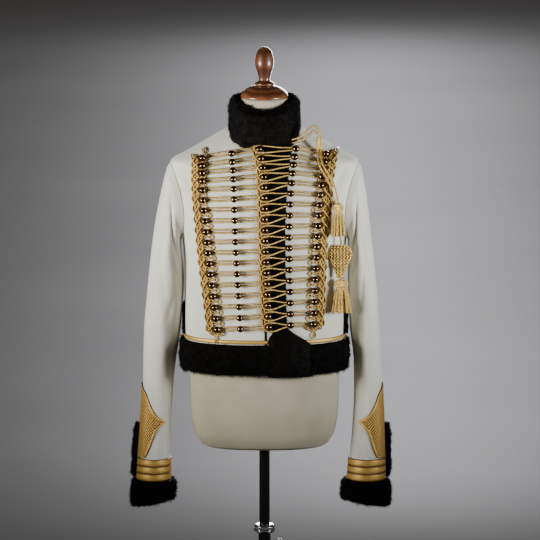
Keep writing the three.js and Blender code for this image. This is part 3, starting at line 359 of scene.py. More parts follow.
def stretched_jersey():
    # Unbleached cotton jersey drawn tight over wadding, its fine wales running up the form
    material, tree, shader, place = start_material(
        "unbleached cotton jersey", Roughness=0.88, Sheen_Weight=0.12)
    paint(tree, shader, noise(tree, place, 14, 4), "#A8A189", "#B8B198")
    wale = add_node(tree, "ShaderNodeTexWave", {
        "Vector": place, "Scale": 160, "Distortion": 1.5,
    }, bands_direction="X")
    wales = raise_by(tree, shader, wale.outputs["Fac"], 0.10, 0.0004)
    raise_by(tree, shader, noise(tree, place, 800), 0.2, 0.0004, wales)
    return material


def varnished_beech():
    # Turned beech stained red brown under a glossy varnish, with grain along the axis
    material, tree, shader, place = start_material(
        "stained and varnished beech", Roughness=0.38, Coat_Weight=0.6, Coat_Roughness=0.08)
    long_grain = add_node(tree, "ShaderNodeMapping", {
        "Vector": place, "Scale": (60, 60, 6),
    }).outputs["Vector"]
    grain = noise(tree, long_grain, 2.2, 6, Distortion=1.2)
    ring = add_node(tree, "ShaderNodeTexWave", {
        "Vector": long_grain, "Scale": 0.35, "Distortion": 4, "Detail": 3,
    }, wave_type="RINGS", rings_direction="Z")
    both = add_node(tree, "ShaderNodeMath", {
        0: grain, 1: ring.outputs["Fac"], 2: 0.12,
    }, operation="MULTIPLY_ADD")
    paint(tree, shader, both.outputs["Value"], "#4A220E", "#854F2A", 0.15, 0.75)
    return material


def black_enamel():
    # Stoved black enamel over steel, glossy, with a slight orange peel
    material, tree, shader, place = start_material(
        "stoved black enamel", Roughness=0.22, Coat_Weight=0.5, Coat_Roughness=0.06)
    peel = noise(tree, place, 420)
    paint(tree, shader, peel, "#0B0B0C", "#141415")
    raise_by(tree, shader, peel, 0.06, 0.0005)
    return material


def polished_chrome():
    # Bright chromium plate on a turned ring, with the lathe's faint lines under it
    material, tree, shader, place = start_material(
        "bright chromium plate", Metallic=1.0, Base_Color=tone("#D3D6D8"))
    roughen(tree, shader, noise(tree, place, 500), 0.06, 0.14)
    return material


def studio_paper(name, low, high):
    # Matt grey floor with broad faint marks
    material, tree, shader, place = start_material(name, Roughness=0.95)
    paint(tree, shader, noise(tree, place, 1.2), low, high)
    return material


def shaded_lace():
    # Woven gilt lace, bright gold on its raised threads and dark brown lower down between them: partly the
    # silk ground that shows there, partly painted shade in the grooves, with less metal there too
    material, tree, shader, place = start_material("gilt lace with painted groove shade", Roughness=0.5)
    # The UV's second part carries painted shade: high on the raised threads, low in the grooves between them,
    # so the colour darkens and the metal dulls where shade falls
    raised = add_node(tree, "ShaderNodeSeparateXYZ", {
        "Vector": add_node(tree, "ShaderNodeUVMap").outputs["UV"],
    }).outputs["Y"]
    worn = noise(tree, place, 420, 3, Roughness=0.6)
    shade = add_node(tree, "ShaderNodeMath", {
        0: worn, 1: 0.5, 2: raised,
    }, operation="MULTIPLY_ADD").outputs["Value"]
    ramp = add_node(tree, "ShaderNodeValToRGB", {"Fac": shade})
    stops = ramp.color_ramp.elements
    stops.new(0.66)
    for stop, position, colour in zip(stops, (0.42, 0.66, 1.0), ("#2A1906", "#8B6222", "#D9AE5A")):
        stop.position = position
        stop.color = tone(colour)
    tree.links.new(ramp.outputs["Color"], shader.inputs["Base Color"])
    metal = add_node(tree, "ShaderNodeMapRange", {
        "Value": shade, "From Min": 0.4, "From Max": 0.8, "To Min": 0.05, "To Max": 0.5,
    })
    tree.links.new(metal.outputs["Result"], shader.inputs["Metallic"])
    raise_by(tree, shader, worn, 0.35, 0.0005)
    return material


WOOL = milled_broadcloth()
FUR = curled_fur()
GILT_CORD = metal_thread("gilt wire cord", "#9F7B36", "#DDBB72", 0.42, 0.62, 9)
GILT_LACE = shaded_lace()
# The foot braid's darker brown is partly its own colour and partly painted shade for the gaps between the
# cords above it
FOOT_BRAID_DARKENED_AS_SHADE = metal_thread("brown foot braid darkened as painted shade", "#76552A", "#A47E45", 0.6, 0.35, 7)
BULLION = metal_thread("gilt bullion", "#C0963F", "#F2D487", 0.40, 0.55, 12)
BALL_GILT = gilt_brass()
JERSEY = stretched_jersey()
BEECH = varnished_beech()
ENAMEL = black_enamel()
CHROME = polished_chrome()


# Shape helpers

def unit(vectors):
    return vectors / np.maximum(np.linalg.norm(vectors, axis=-1, keepdims=True), 1e-9)


def level(places, values, at):
    """A smooth value between the rows of a table, that runs level through a peak."""
    places, values, at = (np.asarray(v, float) for v in (places, values, at))
    slope = np.diff(values) / np.diff(places)
    tangent = np.empty_like(values)
    tangent[0], tangent[-1] = slope[0], slope[-1]
    before, after = slope[:-1], slope[1:]
    same = before * after > 0
    tangent[1:-1] = np.where(same, 2 * before * after / np.where(same, before + after, 1), 0)
    i = np.clip(np.searchsorted(places, at) - 1, 0, len(places) - 2)
    span = places[i + 1] - places[i]
    t = np.clip((at - places[i]) / span, 0, 1)
    start = (1 + 2 * t) * (1 - t) ** 2 * values[i] + t * (1 - t) ** 2 * span * tangent[i]
    end = t * t * (3 - 2 * t) * values[i + 1] - t * t * (1 - t) * span * tangent[i + 1]
    return start + end


def power(value, exponent):
    return np.sign(value) * np.abs(value) ** exponent


def together(*values):
    return np.broadcast_arrays(*(np.asarray(value, float) for value in values))


def mix(a, b, t):
    return a + (b - a) * t


def smoothstep(value, low, high):
    t = np.clip((value - low) / (high - low), 0, 1)
    return t * t * (3 - 2 * t)


def ripple(points, size, seed):
    """Uneven values from -1 to 1 that change over about size millimetres."""
    turns = np.random.default_rng(seed)
    total = 0
    for _ in range(7):
        wave = unit(turns.normal(size=3)) * 2 * math.pi / (size * turns.uniform(0.8, 1.7))
        total = total + np.sin(points @ wave + turns.uniform(0, 2 * math.pi))
    return total / 3.2


class Shape:
    """Points and faces gathered for one mesh, in millimetres, with a UV for each corner."""

    def __init__(self):
        self.points, self.corners, self.sizes, self.uvs, self.slots = [], [], [], [], []
        self.count = 0

    def add(self, points, faces, uvs, slot=0):
        """faces is (n, corners) of point numbers, and uvs is (n, corners, 2)."""
        faces = np.asarray(faces)
        self.points.append(np.asarray(points, float).reshape(-1, 3))
        self.corners.append((faces + self.count).ravel())
        self.sizes.append(np.full(len(faces), faces.shape[1]))
        self.uvs.append(np.asarray(uvs, float).reshape(-1, 2))
        self.slots.append(np.full(len(faces), slot))
        self.count += len(self.points[-1])

    def more(self, faces, uvs, slot=0):
        """More faces on points that are already there."""
        faces = np.asarray(faces)
        self.corners.append(faces.ravel())
        self.sizes.append(np.full(len(faces), faces.shape[1]))
        self.uvs.append(np.asarray(uvs, float).reshape(-1, 2))
        self.slots.append(np.full(len(faces), slot))

    def build(self, name, *materials, smooth=True):
        mesh = bpy.data.meshes.new(name)
        points = np.concatenate(self.points) * METRE
        corners = np.concatenate(self.corners)
        sizes = np.concatenate(self.sizes)
        mesh.vertices.add(len(points))
        mesh.vertices.foreach_set("co", points.ravel())
        mesh.loops.add(len(corners))
        mesh.loops.foreach_set("vertex_index", corners.astype(np.int32))
        mesh.polygons.add(len(sizes))
        starts = np.concatenate([[0], np.cumsum(sizes)[:-1]])
        mesh.polygons.foreach_set("loop_start", starts.astype(np.int32))
        for material in materials:
            mesh.materials.append(material)
        mesh.polygons.foreach_set("material_index", np.concatenate(self.slots).astype(np.int32))
        mesh.polygons.foreach_set("use_smooth", np.full(len(sizes), smooth))
        mesh.update(calc_edges=True)
        layer = mesh.uv_layers.new(name="UVMap")
        layer.data.foreach_set("uv", np.concatenate(self.uvs).ravel())
        piece = bpy.data.objects.new(name, mesh)
        bpy.context.scene.collection.objects.link(piece)
        return piece


def corners_uv(u0, u1, v0, v1):
    return np.stack([np.stack(pair, -1) for pair in ((u0, v0), (u1, v0), (u1, v1), (u0, v1))], 1)


def ring_faces(rows, sides, closed=True):
    """Quads between neighbouring rings of points, with the row and column that each starts at."""
    r, c = np.meshgrid(np.arange(rows - 1), np.arange(sides if closed else sides - 1), indexing="ij")
    r, c = r.ravel(), c.ravel()
    after = (c + 1) % sides
    return np.stack([r * sides + c, r * sides + after, (r + 1) * sides + after, (r + 1) * sides + c], 1), r, c


def add_tube(shape, rings, uv_of, slot=0, inside_out=False, ends=None):
    """Rings of points as a closed tube, its ends closed by a point in the middle of each."""
    rows, sides = rings.shape[:2]
    faces, r, c = ring_faces(rows, sides)
    start = shape.count
    middles = np.stack([rings[0].mean(0), rings[-1].mean(0)]) if ends is None else ends
    k = np.arange(sides)
    first, last, end = start + rows * sides, start + rows * sides + 1, start + (rows - 1) * sides
    caps = np.concatenate([
        np.stack([np.full(sides, first), start + (k + 1) % sides, start + k], 1),
        np.stack([np.full(sides, last), end + k, end + (k + 1) % sides], 1),
    ])
    if inside_out:
        faces, caps = faces[:, ::-1], caps[:, ::-1]
    shape.add(np.concatenate([rings.reshape(-1, 3), middles]), faces, uv_of(r, c), slot)
    shape.more(caps, np.zeros((2 * sides, 3, 2)), slot)


def wall(shape, outer, inner, closed=False, slot=0, shade=None):
    """A wall between two layers of points; shade, where given, fills the UV's second part."""
    rows, columns = outer.shape[:2]
    start = shape.count
    flat = outer.reshape(-1, 3)
    top, r, c = ring_faces(rows, columns, closed)
    after = (c + 1) % columns
    across = np.linalg.norm(np.diff(outer[rows // 2], axis=0), axis=1)
    u = np.concatenate([[0], np.cumsum(across)]) * UV_PER_MM
    join = np.linalg.norm(outer[rows // 2, -1] - outer[rows // 2, 0]) if closed else 0
    u = np.append(u, u[-1] + join * UV_PER_MM)
    along = np.linalg.norm(np.diff(outer[:, columns // 2], axis=0), axis=1)
    v = np.concatenate([[0], np.cumsum(along)]) * UV_PER_MM
    uv = corners_uv(u[c], u[c + 1], v[r], v[r + 1])
    if shade is not None:
        uv[..., 1] = np.stack([shade[r, c], shade[r, after], shade[r + 1, after], shade[r + 1, c]], 1)
    bottom = top[:, ::-1] + rows * columns
    normal = np.cross(flat[top[:, 1]] - flat[top[:, 0]], flat[top[:, 3]] - flat[top[:, 0]])
    outward = flat - inner.reshape(-1, 3)
    flipped = np.sum(normal * outward[top[:, 0]]) < 0
    if flipped:
        top, bottom, uv = top[:, ::-1], bottom[:, ::-1], uv[:, ::-1]
    shape.add(np.concatenate([flat, inner.reshape(-1, 3)]), top, uv, slot)
    shape.more(bottom + start, uv[:, ::-1], slot)
    layer = rows * columns
    c = np.arange(columns if closed else columns - 1)
    after = (c + 1) % columns
    last = (rows - 1) * columns
    rims = [np.stack([c, layer + c, layer + after, after], 1),
            np.stack([last + c, last + after, layer + last + after, layer + last + c], 1)]
    if not closed:
        r = np.arange(rows - 1) * columns
        rims.append(np.stack([r, r + columns, layer + r + columns, layer + r], 1))
        end = r + columns - 1
        rims.append(np.stack([end, layer + end, layer + end + columns, end + columns], 1))
    rim = np.concatenate(rims)
    if flipped:
        rim = rim[:, ::-1]
    shape.more(rim + start, np.zeros((len(rim), 4, 2)), slot)


def through(points, step):
    """A smooth line through points, with a point about every step."""
    points = np.asarray(points, float)
    ends = np.vstack([2 * points[0] - points[1], points, 2 * points[-1] - points[-2]])
    out = []
    for i in range(1, len(ends) - 2):
        a, b, c, d = ends[i - 1:i + 3]
        count = max(1, int(round(np.linalg.norm(c - b) / step)))
        t = (np.arange(count) / count)[:, None]
        square, cube = 2 * a - 5 * b + 4 * c - d, 3 * b - a - 3 * c + d
        out.append(0.5 * (2 * b + (c - a) * t + square * t ** 2 + cube * t ** 3))
    out.append(points[-1:])
    return np.vstack(out)


def carried_up(path):
    """Side directions along a free path that turn as little as they can."""
    ahead = unit(np.gradient(path, axis=0))
    up = np.empty_like(path)
    first = np.array([0, -1, 0.0])
    up[0] = unit(first - ahead[0] * (first @ ahead[0]) + 1e-6)
    for i in range(1, len(path)):
        up[i] = unit(up[i - 1] - ahead[i] * (up[i - 1] @ ahead[i]))
    return up


def cord(shape, path, radius, up=None, lay=13.0, lobes=3, depth=0.24, slot=0, turn=0.0):
    """A laid cord: lobes strands that turn once in lay millimetres round the path."""
    path = np.asarray(path, float)
    up = carried_up(path) if up is None else up
    ahead = unit(np.gradient(path, axis=0))
    side = unit(np.cross(up, ahead))
    up = np.cross(ahead, side)
    gone = np.concatenate([[0], np.cumsum(np.linalg.norm(np.diff(path, axis=0), axis=1))])
    sides = 2 * lobes
    k = np.arange(sides)
    angle = 2 * math.pi * k[None] / sides + (2 * math.pi * gone / lay + turn)[:, None]
    radius = np.broadcast_to(np.asarray(radius, float).reshape(-1, 1), (len(path), 1))
    reach = radius * np.where(k % 2, 1 - depth, 1.0)
    way = np.cos(angle)[..., None] * side[:, None] + np.sin(angle)[..., None] * up[:, None]
    rings = path[:, None] + reach[..., None] * way

    def along_uv(s, c):
        return corners_uv(c / sides, (c + 1) / sides, gone[s] * UV_PER_MM, gone[s + 1] * UV_PER_MM)

    add_tube(shape, rings, along_uv, slot, ends=path[[0, -1]])


def ball_points(sides=20, rings=12):
    """A unit ball as points and faces, made once as a sphere."""
    bpy.ops.object.select_all(action="DESELECT")
    bpy.ops.mesh.primitive_uv_sphere_add(segments=sides, ring_count=rings, radius=1)
    made = bpy.context.object
    points = np.array([v.co[:] for v in made.data.vertices])
    quads = np.array([p.vertices[:] for p in made.data.polygons if len(p.vertices) == 4])
    tips = np.array([p.vertices[:] for p in made.data.polygons if len(p.vertices) == 3])
    bpy.data.objects.remove(made, do_unlink=True)
    return points, quads, tips


BALL = ball_points()


def add_ball(shape, centre, radius, outward, slot):
    """A ball button with its pole turned outward, and the shank under it."""
    points, quads, tips = BALL
    z = unit(np.asarray(outward, float))
    x = unit(np.cross([0, 0, 1.0], z))
    y = np.cross(z, x)
    start = shape.count
    shape.add(centre + radius * (points @ np.stack([x, y, z])), quads, np.zeros((len(quads), 4, 2)), slot)
    shape.more(tips + start, np.zeros((len(tips), 3, 2)), slot)
    foot = centre - z * (radius - 0.8)
    shank = np.array([foot - z * 3.2, foot - z * 1.5, foot])
    cord(shape, shank, np.array([3.4, 2.6, 3.0]), np.tile(y, (3, 1)), depth=0, slot=slot)


def dress(piece, slot, *nodes, body="figure"):
    """Hides the part's nodes that a finished piece stands for and attaches it to what it rides on; slot, what
    it is made of, is not used.
    """
    if nodes:
        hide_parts(*nodes)
    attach(piece, body)
    return piece


# Surfaces of the garment

BODY_Z, BODY_HALF, BODY_FRONT, BODY_BACK = np.array(BODY, float).T


def body_surface(angle, z):
    turn = np.radians(angle)
    half = level(BODY_Z, BODY_HALF, z)
    depth = np.where(np.cos(turn) > 0, level(BODY_Z, BODY_FRONT, z), level(BODY_Z, BODY_BACK, z))
    x = half * power(np.sin(turn), 2 / SQUARE)
    y = -depth * power(np.cos(turn), 2 / SQUARE)
    return np.stack(np.broadcast_arrays(x, y, z), -1)


def folded(folds, angle, place):
    total = 0
    for middle, where, slant, width, length, depth in folds:
        off = (angle - middle - slant * (place - where) + 180) % 360 - 180
        total = total - depth * np.exp(-(off / width) ** 2 - ((place - where) / length) ** 2)
    return total


def moved_out(surface, angle, place, out, sense=1):
    step = NORMAL_STEP
    around = surface(angle + step, place) - surface(angle - step, place)
    up = surface(angle, place + step) - surface(angle, place - step)
    return surface(angle, place) + sense * unit(np.cross(around, up)) * np.asarray(out)[..., None]


def body_point(angle, z, out):
    angle, z, out = together(angle, z, out)
    return moved_out(body_surface, angle, z, out + folded(BODY_FOLDS + BODY_CREASES, angle, z))


def angle_across(x, z):
    share = np.minimum(1, np.abs(x) / level(BODY_Z, BODY_HALF, z))
    return np.sign(x) * np.degrees(np.arcsin(share ** (SQUARE / 2)))


def angle_at_depth(depth_y, z, front):
    depth = level(BODY_Z, BODY_FRONT if front else BODY_BACK, z)
    angle = np.degrees(np.arccos(np.minimum(1, depth_y / depth) ** (SQUARE / 2)))
    return angle if front else 180 - angle


def on_front(x, z, out):
    """The point over the front that shows at x and z and stands out from the cloth."""
    x, z, out = together(x, z, out)
    base_x, base_z = x.copy(), z.copy()
    for _ in range(4):
        point = body_point(angle_across(base_x, base_z), base_z, out)
        base_x = base_x + x - point[..., 0]
        base_z = base_z + z - point[..., 2]
    return point


def body_height(x, y):
    """Height of the shoulders' surface over a point of the floor plan."""
    low, high = np.full(np.shape(x), 1150.0), np.full(np.shape(x), 1290.0)
    for _ in range(30):
        z = (low + high) / 2
        depth = np.where(y < 0, level(BODY_Z, BODY_FRONT, z), level(BODY_Z, BODY_BACK, z))
        under = np.abs(x / level(BODY_Z, BODY_HALF, z)) ** SQUARE + np.abs(y / depth) ** SQUARE < 1
        low, high = np.where(under, z, low), np.where(under, high, z)
    return low


def armhole_depth(z):
    share = np.clip((z - ARMHOLE_Z) / ARMHOLE_HALF_HEIGHT, -1, 1)
    return ARMHOLE_HALF_WIDTH * np.sqrt(1 - share * share)


def neck_angle(z, front):
    """Where the neck hole cuts a body section, in degrees from the centre line."""
    z = np.asarray(z, float)
    near, far = np.zeros_like(z), np.full_like(z, 90)

    def outside(off):
        point = body_surface(off if front else 180 - off, z)
        return np.hypot(point[..., 0], point[..., 1]) > NECK_RADIUS

    whole = outside(np.zeros_like(z))
    for _ in range(30):
        angle = (near + far) / 2
        out = outside(angle)
        near, far = np.where(out, near, angle), np.where(out, angle, far)
    return np.where(whole, 0, far)


def sleeve_surface(table, side):
    columns = np.array(table, float).T
    rings = np.arange(len(table))

    def surface(angle, row):
        turn = np.radians(angle)
        in_x, in_z, out_x, out_z, depth, y = (level(rings, column, np.maximum(row, 0)) for column in columns)
        share = (1 + np.cos(turn)) / 2
        x = side * mix(in_x, out_x, share)
        return np.stack(np.broadcast_arrays(x, y - depth * np.sin(turn), mix(in_z, out_z, share)), -1)

    return surface


def armhole_point(angle, side, out):
    turn = np.radians(angle)
    z = ARMHOLE_Z + (ARMHOLE_HALF_HEIGHT + out) * np.cos(turn)
    y = -(ARMHOLE_HALF_WIDTH + out) * np.sin(turn)
    depth = np.where(y < 0, level(BODY_Z, BODY_FRONT, z), level(BODY_Z, BODY_BACK, z))
    x = level(BODY_Z, BODY_HALF, z) * (1 - np.minimum(1, np.abs(y / depth)) ** SQUARE) ** (1 / SQUARE)
    return np.stack([side * (x + ARMHOLE_STEP), y, z], -1)


def sleeve_point(side, angle, row, out):
    angle, row, out = together(angle, row, out)
    table = SLEEVE_LEFT if side < 0 else SLEEVE_RIGHT
    shifted = angle - (6 if side > 0 else 0)
    full = out + folded(SLEEVE_FOLDS, shifted, row) + folded(SLEEVE_CREASES, shifted, row)
    low = moved_out(sleeve_surface(table, side), angle, row, full, side)
    head = armhole_point(angle, side, out)
    return np.where((row < 0)[..., None], mix(low, head, np.clip(-row, 0, 1)[..., None]), low)


def sleeve_row(side, z):
    """The ring at a height, below the elbow where the sleeve's rings lie level."""
    table = SLEEVE_LEFT if side < 0 else SLEEVE_RIGHT
    rings = np.linspace(5, len(table) - 1, 400)
    heights = level(np.arange(len(table)), [row[3] for row in table], rings)
    return np.interp(-np.asarray(z, float), -heights, rings)


def rounded(u, edge=0.25):
    return edge + (1 - edge) * np.sqrt(np.maximum(0, 1 - (2 * u - 1) ** 4))


def column_at(column, row):
    return float(level(KNOT_ROWS, COLUMN_X[column], row)), float(level(KNOT_ROWS, COLUMN_Z[column], row))


def column_x(column, z):
    rows = np.linspace(1, ROWS, 300)
    x, height = (level(KNOT_ROWS, table[column], rows) for table in (COLUMN_X, COLUMN_Z))
    return np.interp(-np.asarray(z, float), -height, x)


# Wool panels

def spread(width, cell):
    """Shares from 0 to 1 across a panel, close together at its seams."""
    edge = np.array([0, 1.0, 2.4, 4.4]) / width
    middle = np.linspace(8 / width, 1 - 8 / width, max(4, int(width / cell)))
    return np.concatenate([edge, middle, 1 - edge[::-1]])


def seam_dip(off, depth=0.9):
    """How far the cloth is drawn in off millimetres from a seam, and rises where it is pressed open."""
    return -depth * np.exp(-(off / 1.4) ** 2) + 0.3 * np.exp(-((off - 5) / 3.5) ** 2)


def body_rows(cell):
    close = [HEM_Z, 1040, 1041, 1042.2, 1044, 1047, 1051, 1196, 1199, 1201, 1202, 1203, 1204, NECK_Z]
    return np.unique(np.concatenate([close, np.arange(HEM_Z, NECK_Z, cell)]))


def make_front(name, side):
    z = body_rows(6)[:, None]
    width = 250
    u = spread(width, 6)[None]
    opening = angle_across(OPENING_X, z)
    neck = side * neck_angle(z, True)
    start = np.maximum(opening, neck) if side > 0 else np.minimum(opening, neck)
    end = side * angle_at_depth(np.maximum(SEAM, armhole_depth(z)), z, True)
    angle = mix(start, end, u)

    def layer(out):
        dip = seam_dip((1 - u) * width, np.where(z > ARMHOLE_BOTTOM, 0.2, 0.9))
        point = body_point(angle, z + 0 * angle, out + dip)
        point[..., 1] = np.minimum(point[..., 1], -SEAM / 2)
        edge = OPENING_X + side * SEAM / 2
        point[..., 0] = np.maximum(point[..., 0], edge) if side > 0 else np.minimum(point[..., 0], edge)
        return point

    shape = Shape()
    wall(shape, layer(0), layer(-CLOTH))
    piece = shape.build(f"{name}_broadcloth", WOOL)
    dress(piece, "wool", name)


def make_back():
    z = body_rows(6)[:, None]
    width = 500
    u = (spread(width, 7) * 2 - 1)[None]
    u = np.sort(np.concatenate([u, [[-0.004, 0.004]]], axis=1), axis=1)
    u = u[:, np.abs(u[0]) > 1e-6]
    end = angle_at_depth(np.maximum(SEAM, armhole_depth(z)), z, False)
    neck = 180 - neck_angle(z, False)
    angle = mix(neck, end, np.abs(u))
    angle = np.where(u < 0, 360 - angle, angle)

    def layer(out, columns):
        dip = seam_dip((1 - np.abs(u[:, columns])) * width / 2, np.where(z > ARMHOLE_BOTTOM, 0.2, 0.9))
        point = body_point(angle[:, columns], z + 0 * angle[:, columns], out + dip)
        point[..., 1] = np.maximum(point[..., 1], SEAM / 2)
        return point

    shape = Shape()
    for columns in (u[0] < 0, u[0] > 0):
        wall(shape, layer(0, columns), layer(-CLOTH, columns))
    piece = shape.build("back_broadcloth", WOOL)
    dress(piece, "wool", "back")


def make_sleeve(label, side):
    head = [-1, -0.97, -0.92, -0.8, -0.6, -0.35]
    rows = np.concatenate([head, np.arange(0, 4, 0.16), np.arange(4, 11.001, 0.11)])

    def piece(part, start, end, width, flat, area):
        u = spread(width, 6)[None]
        angle = mix(start + 0.35, end - 0.35, u)
        row = rows[:, None]
        dip = seam_dip(np.minimum(u, 1 - u) * width) * smoothstep(row, -1, -0.8)
        layer = [sleeve_point(side, angle, row, out + dip) for out in (0, -CLOTH)]
        shape = Shape()
        wall(shape, *layer)
        made = shape.build(f"sleeve_{label}_{part}_broadcloth", WOOL)
        dress(made, "wool", f"sleeve_{label}_{part}")

    piece("top", HIND_SEAM, FORE_SEAM, 150, (0.17, 0.73), 0.095)
    piece("under", FORE_SEAM, HIND_SEAM + 360, 150, (0.17, 0.73), 0.09)


# Fur

SKIN_SHARE = 0.72
LOCK_SIZE = 17


def fur(shape, place, across, along, core, length, apart, comb, closed=False, seed=1, base=LIFT):
    """A pelt on a surface: a rounded skin, and straight hairs that lean in locks and cover it."""
    a, b = np.meshgrid(across, along)

    def skin(a, b):
        out = core(a, b)
        point = place(a, b, base + out * SKIN_SHARE)
        swell = ripple(point, 26, seed) * 0.9 + ripple(point, 9, seed + 1) * 0.6
        return place(a, b, base + np.maximum(out * SKIN_SHARE + swell * np.minimum(1, out / 5), 0.4))

    wall(shape, skin(a, b), place(a, b, base + 0 * a), closed)
    flat = skin(a, b)
    wide = np.linalg.norm(np.diff(flat, axis=1), axis=-1).sum(axis=1).mean()
    tall = np.linalg.norm(np.diff(flat, axis=0), axis=-1).sum(axis=0).mean()
    columns, rows = max(2, int(wide / apart)), max(2, int(tall / apart))
    draw = np.random.default_rng(seed)
    u = (np.arange(columns)[None] + draw.uniform(0, 1, (rows, columns))) / columns
    v = (np.arange(rows)[:, None] + draw.uniform(0, 1, (rows, columns))) / rows
    ra = mix(across[0], across[-1] if not closed else across[0] + 360, u).ravel()
    rb = np.interp(v.ravel(), np.linspace(0, 1, len(along)), along)
    root = skin(ra, rb)
    da, db = (across[-1] - across[0]) * 0.002, (along[-1] - along[0]) * 0.01
    rise = place(ra, rb, base + core(ra, rb) + 1) - place(ra, rb, base + core(ra, rb))
    normal = unit(np.cross(skin(ra + da, rb) - root, skin(ra, rb + db) - root))
    normal *= np.sign(np.sum(normal * rise, axis=1, keepdims=True))
    normal = unit(normal + 0.5 * unit(rise))
    lean = np.stack([ripple(root, LOCK_SIZE, seed + k) for k in (2, 3, 4)], -1)
    way = unit(normal * 0.8 + lean * 0.5 + np.asarray(comb) + draw.normal(0, 0.28, root.shape))
    way = unit(way + normal * np.maximum(0.25 - np.sum(way * normal, axis=1, keepdims=True), 0) * 1.6)
    patchy = 0.85 + 0.3 * ripple(root, 11, seed + 5)
    long = length * patchy[:, None] * draw.uniform(0.55, 1.25, len(root))[:, None]
    side = unit(np.cross(way, draw.normal(size=root.shape)))
    other = unit(np.cross(way, side))
    half = draw.uniform(0.5, 0.9, len(root))[:, None]
    low = root - way * 1.6
    ring = [low + half * (math.cos(turn) * side + math.sin(turn) * other) for turn in (0, 2.1, 4.2)]
    points = np.stack([*ring, root + way * long], 1)
    index = np.arange(len(root))[:, None] * 4
    faces = (index[:, None] + np.array([[0, 1, 3], [1, 2, 3], [2, 0, 3], [0, 2, 1]])[None]).reshape(-1, 3)
    shape.add(points.reshape(-1, 3), faces, np.zeros((len(faces), 3, 2)))


def make_edge_fur():
    past = BALL_RADIUS + 1

    def left(z):
        return mix(OPENING_X + 2.5, column_x(2, z) + past, smoothstep(z, 842, 858))

    def right(z):
        return mix(FUR_TAIL["right"], column_x(3, z) - past, smoothstep(z, 822, 872))

    def core(u, z):
        grow = 1 - smoothstep(z, 806, 846)
        foot = rounded(np.clip((z - FUR_TAIL["bottom"]) / 40, 0, 0.5), 0.35)
        return mix(FUR_EDGE_HEIGHT, FUR_TAIL["height"], grow) * rounded(np.clip(u, 0, 1)) * foot

    shape = Shape()
    along = np.linspace(FUR_TAIL["bottom"], FUR_EDGE_TOP, 150)

    def place(u, z, out):
        return on_front(mix(left(z), right(z), u), z, out)

    fur(shape, place, np.linspace(0, 1, 18), along, core, 7, 1.7, (0.1, 0, -0.8), seed=11)
    dress(shape.build("front_edge_pelt", FUR), "fur", "fur_front_edge")


def make_hem_fur():
    start = float(angle_across(FUR_TAIL["right"] - 7, HEM_FUR["top"]))
    end = 360 + float(angle_across(OPENING_X + 9, HEM_FUR["top"]))
    tall = HEM_FUR["top"] - HEM_FUR["bottom"]

    def core(angle, z):
        return HEM_FUR["height"] * rounded(np.clip((z - HEM_FUR["bottom"]) / tall, 0, 1))

    shape = Shape()
    along = np.linspace(HEM_FUR["bottom"], HEM_FUR["top"], 16)
    fur(shape, body_point, np.linspace(start, end, 190), along, core, 8.5, 1.75, (0, 0, -0.8), seed=21)
    dress(shape.build("hem_pelt", FUR), "fur", "fur_hem")


def make_vent_fur(label, vent, seed):
    middle, top = vent["middle"], vent["top"]
    bottom = HEM_BRAID["top"] + 1
    along = np.linspace(bottom, top, 18)

    def place(u, z, out):
        return body_point(middle + VENT_HALF_ANGLE * (2 * u - 1), z, out)

    def core(u, z):
        share = (z - bottom) / (top - bottom)
        return vent["height"] * rounded(np.clip(u, 0, 1)) * rounded(np.clip(0.5 + share / 2, 0, 1), 0.3)

    shape = Shape()
    hair = 3 + vent["height"] / 3
    fur(shape, place, np.linspace(0, 1, 10), along, core, hair, 1.7, (0, 0, -0.8), seed=seed)
    dress(shape.build(f"vent_{label}_pelt", FUR), "fur", f"fur_vent_{label}")


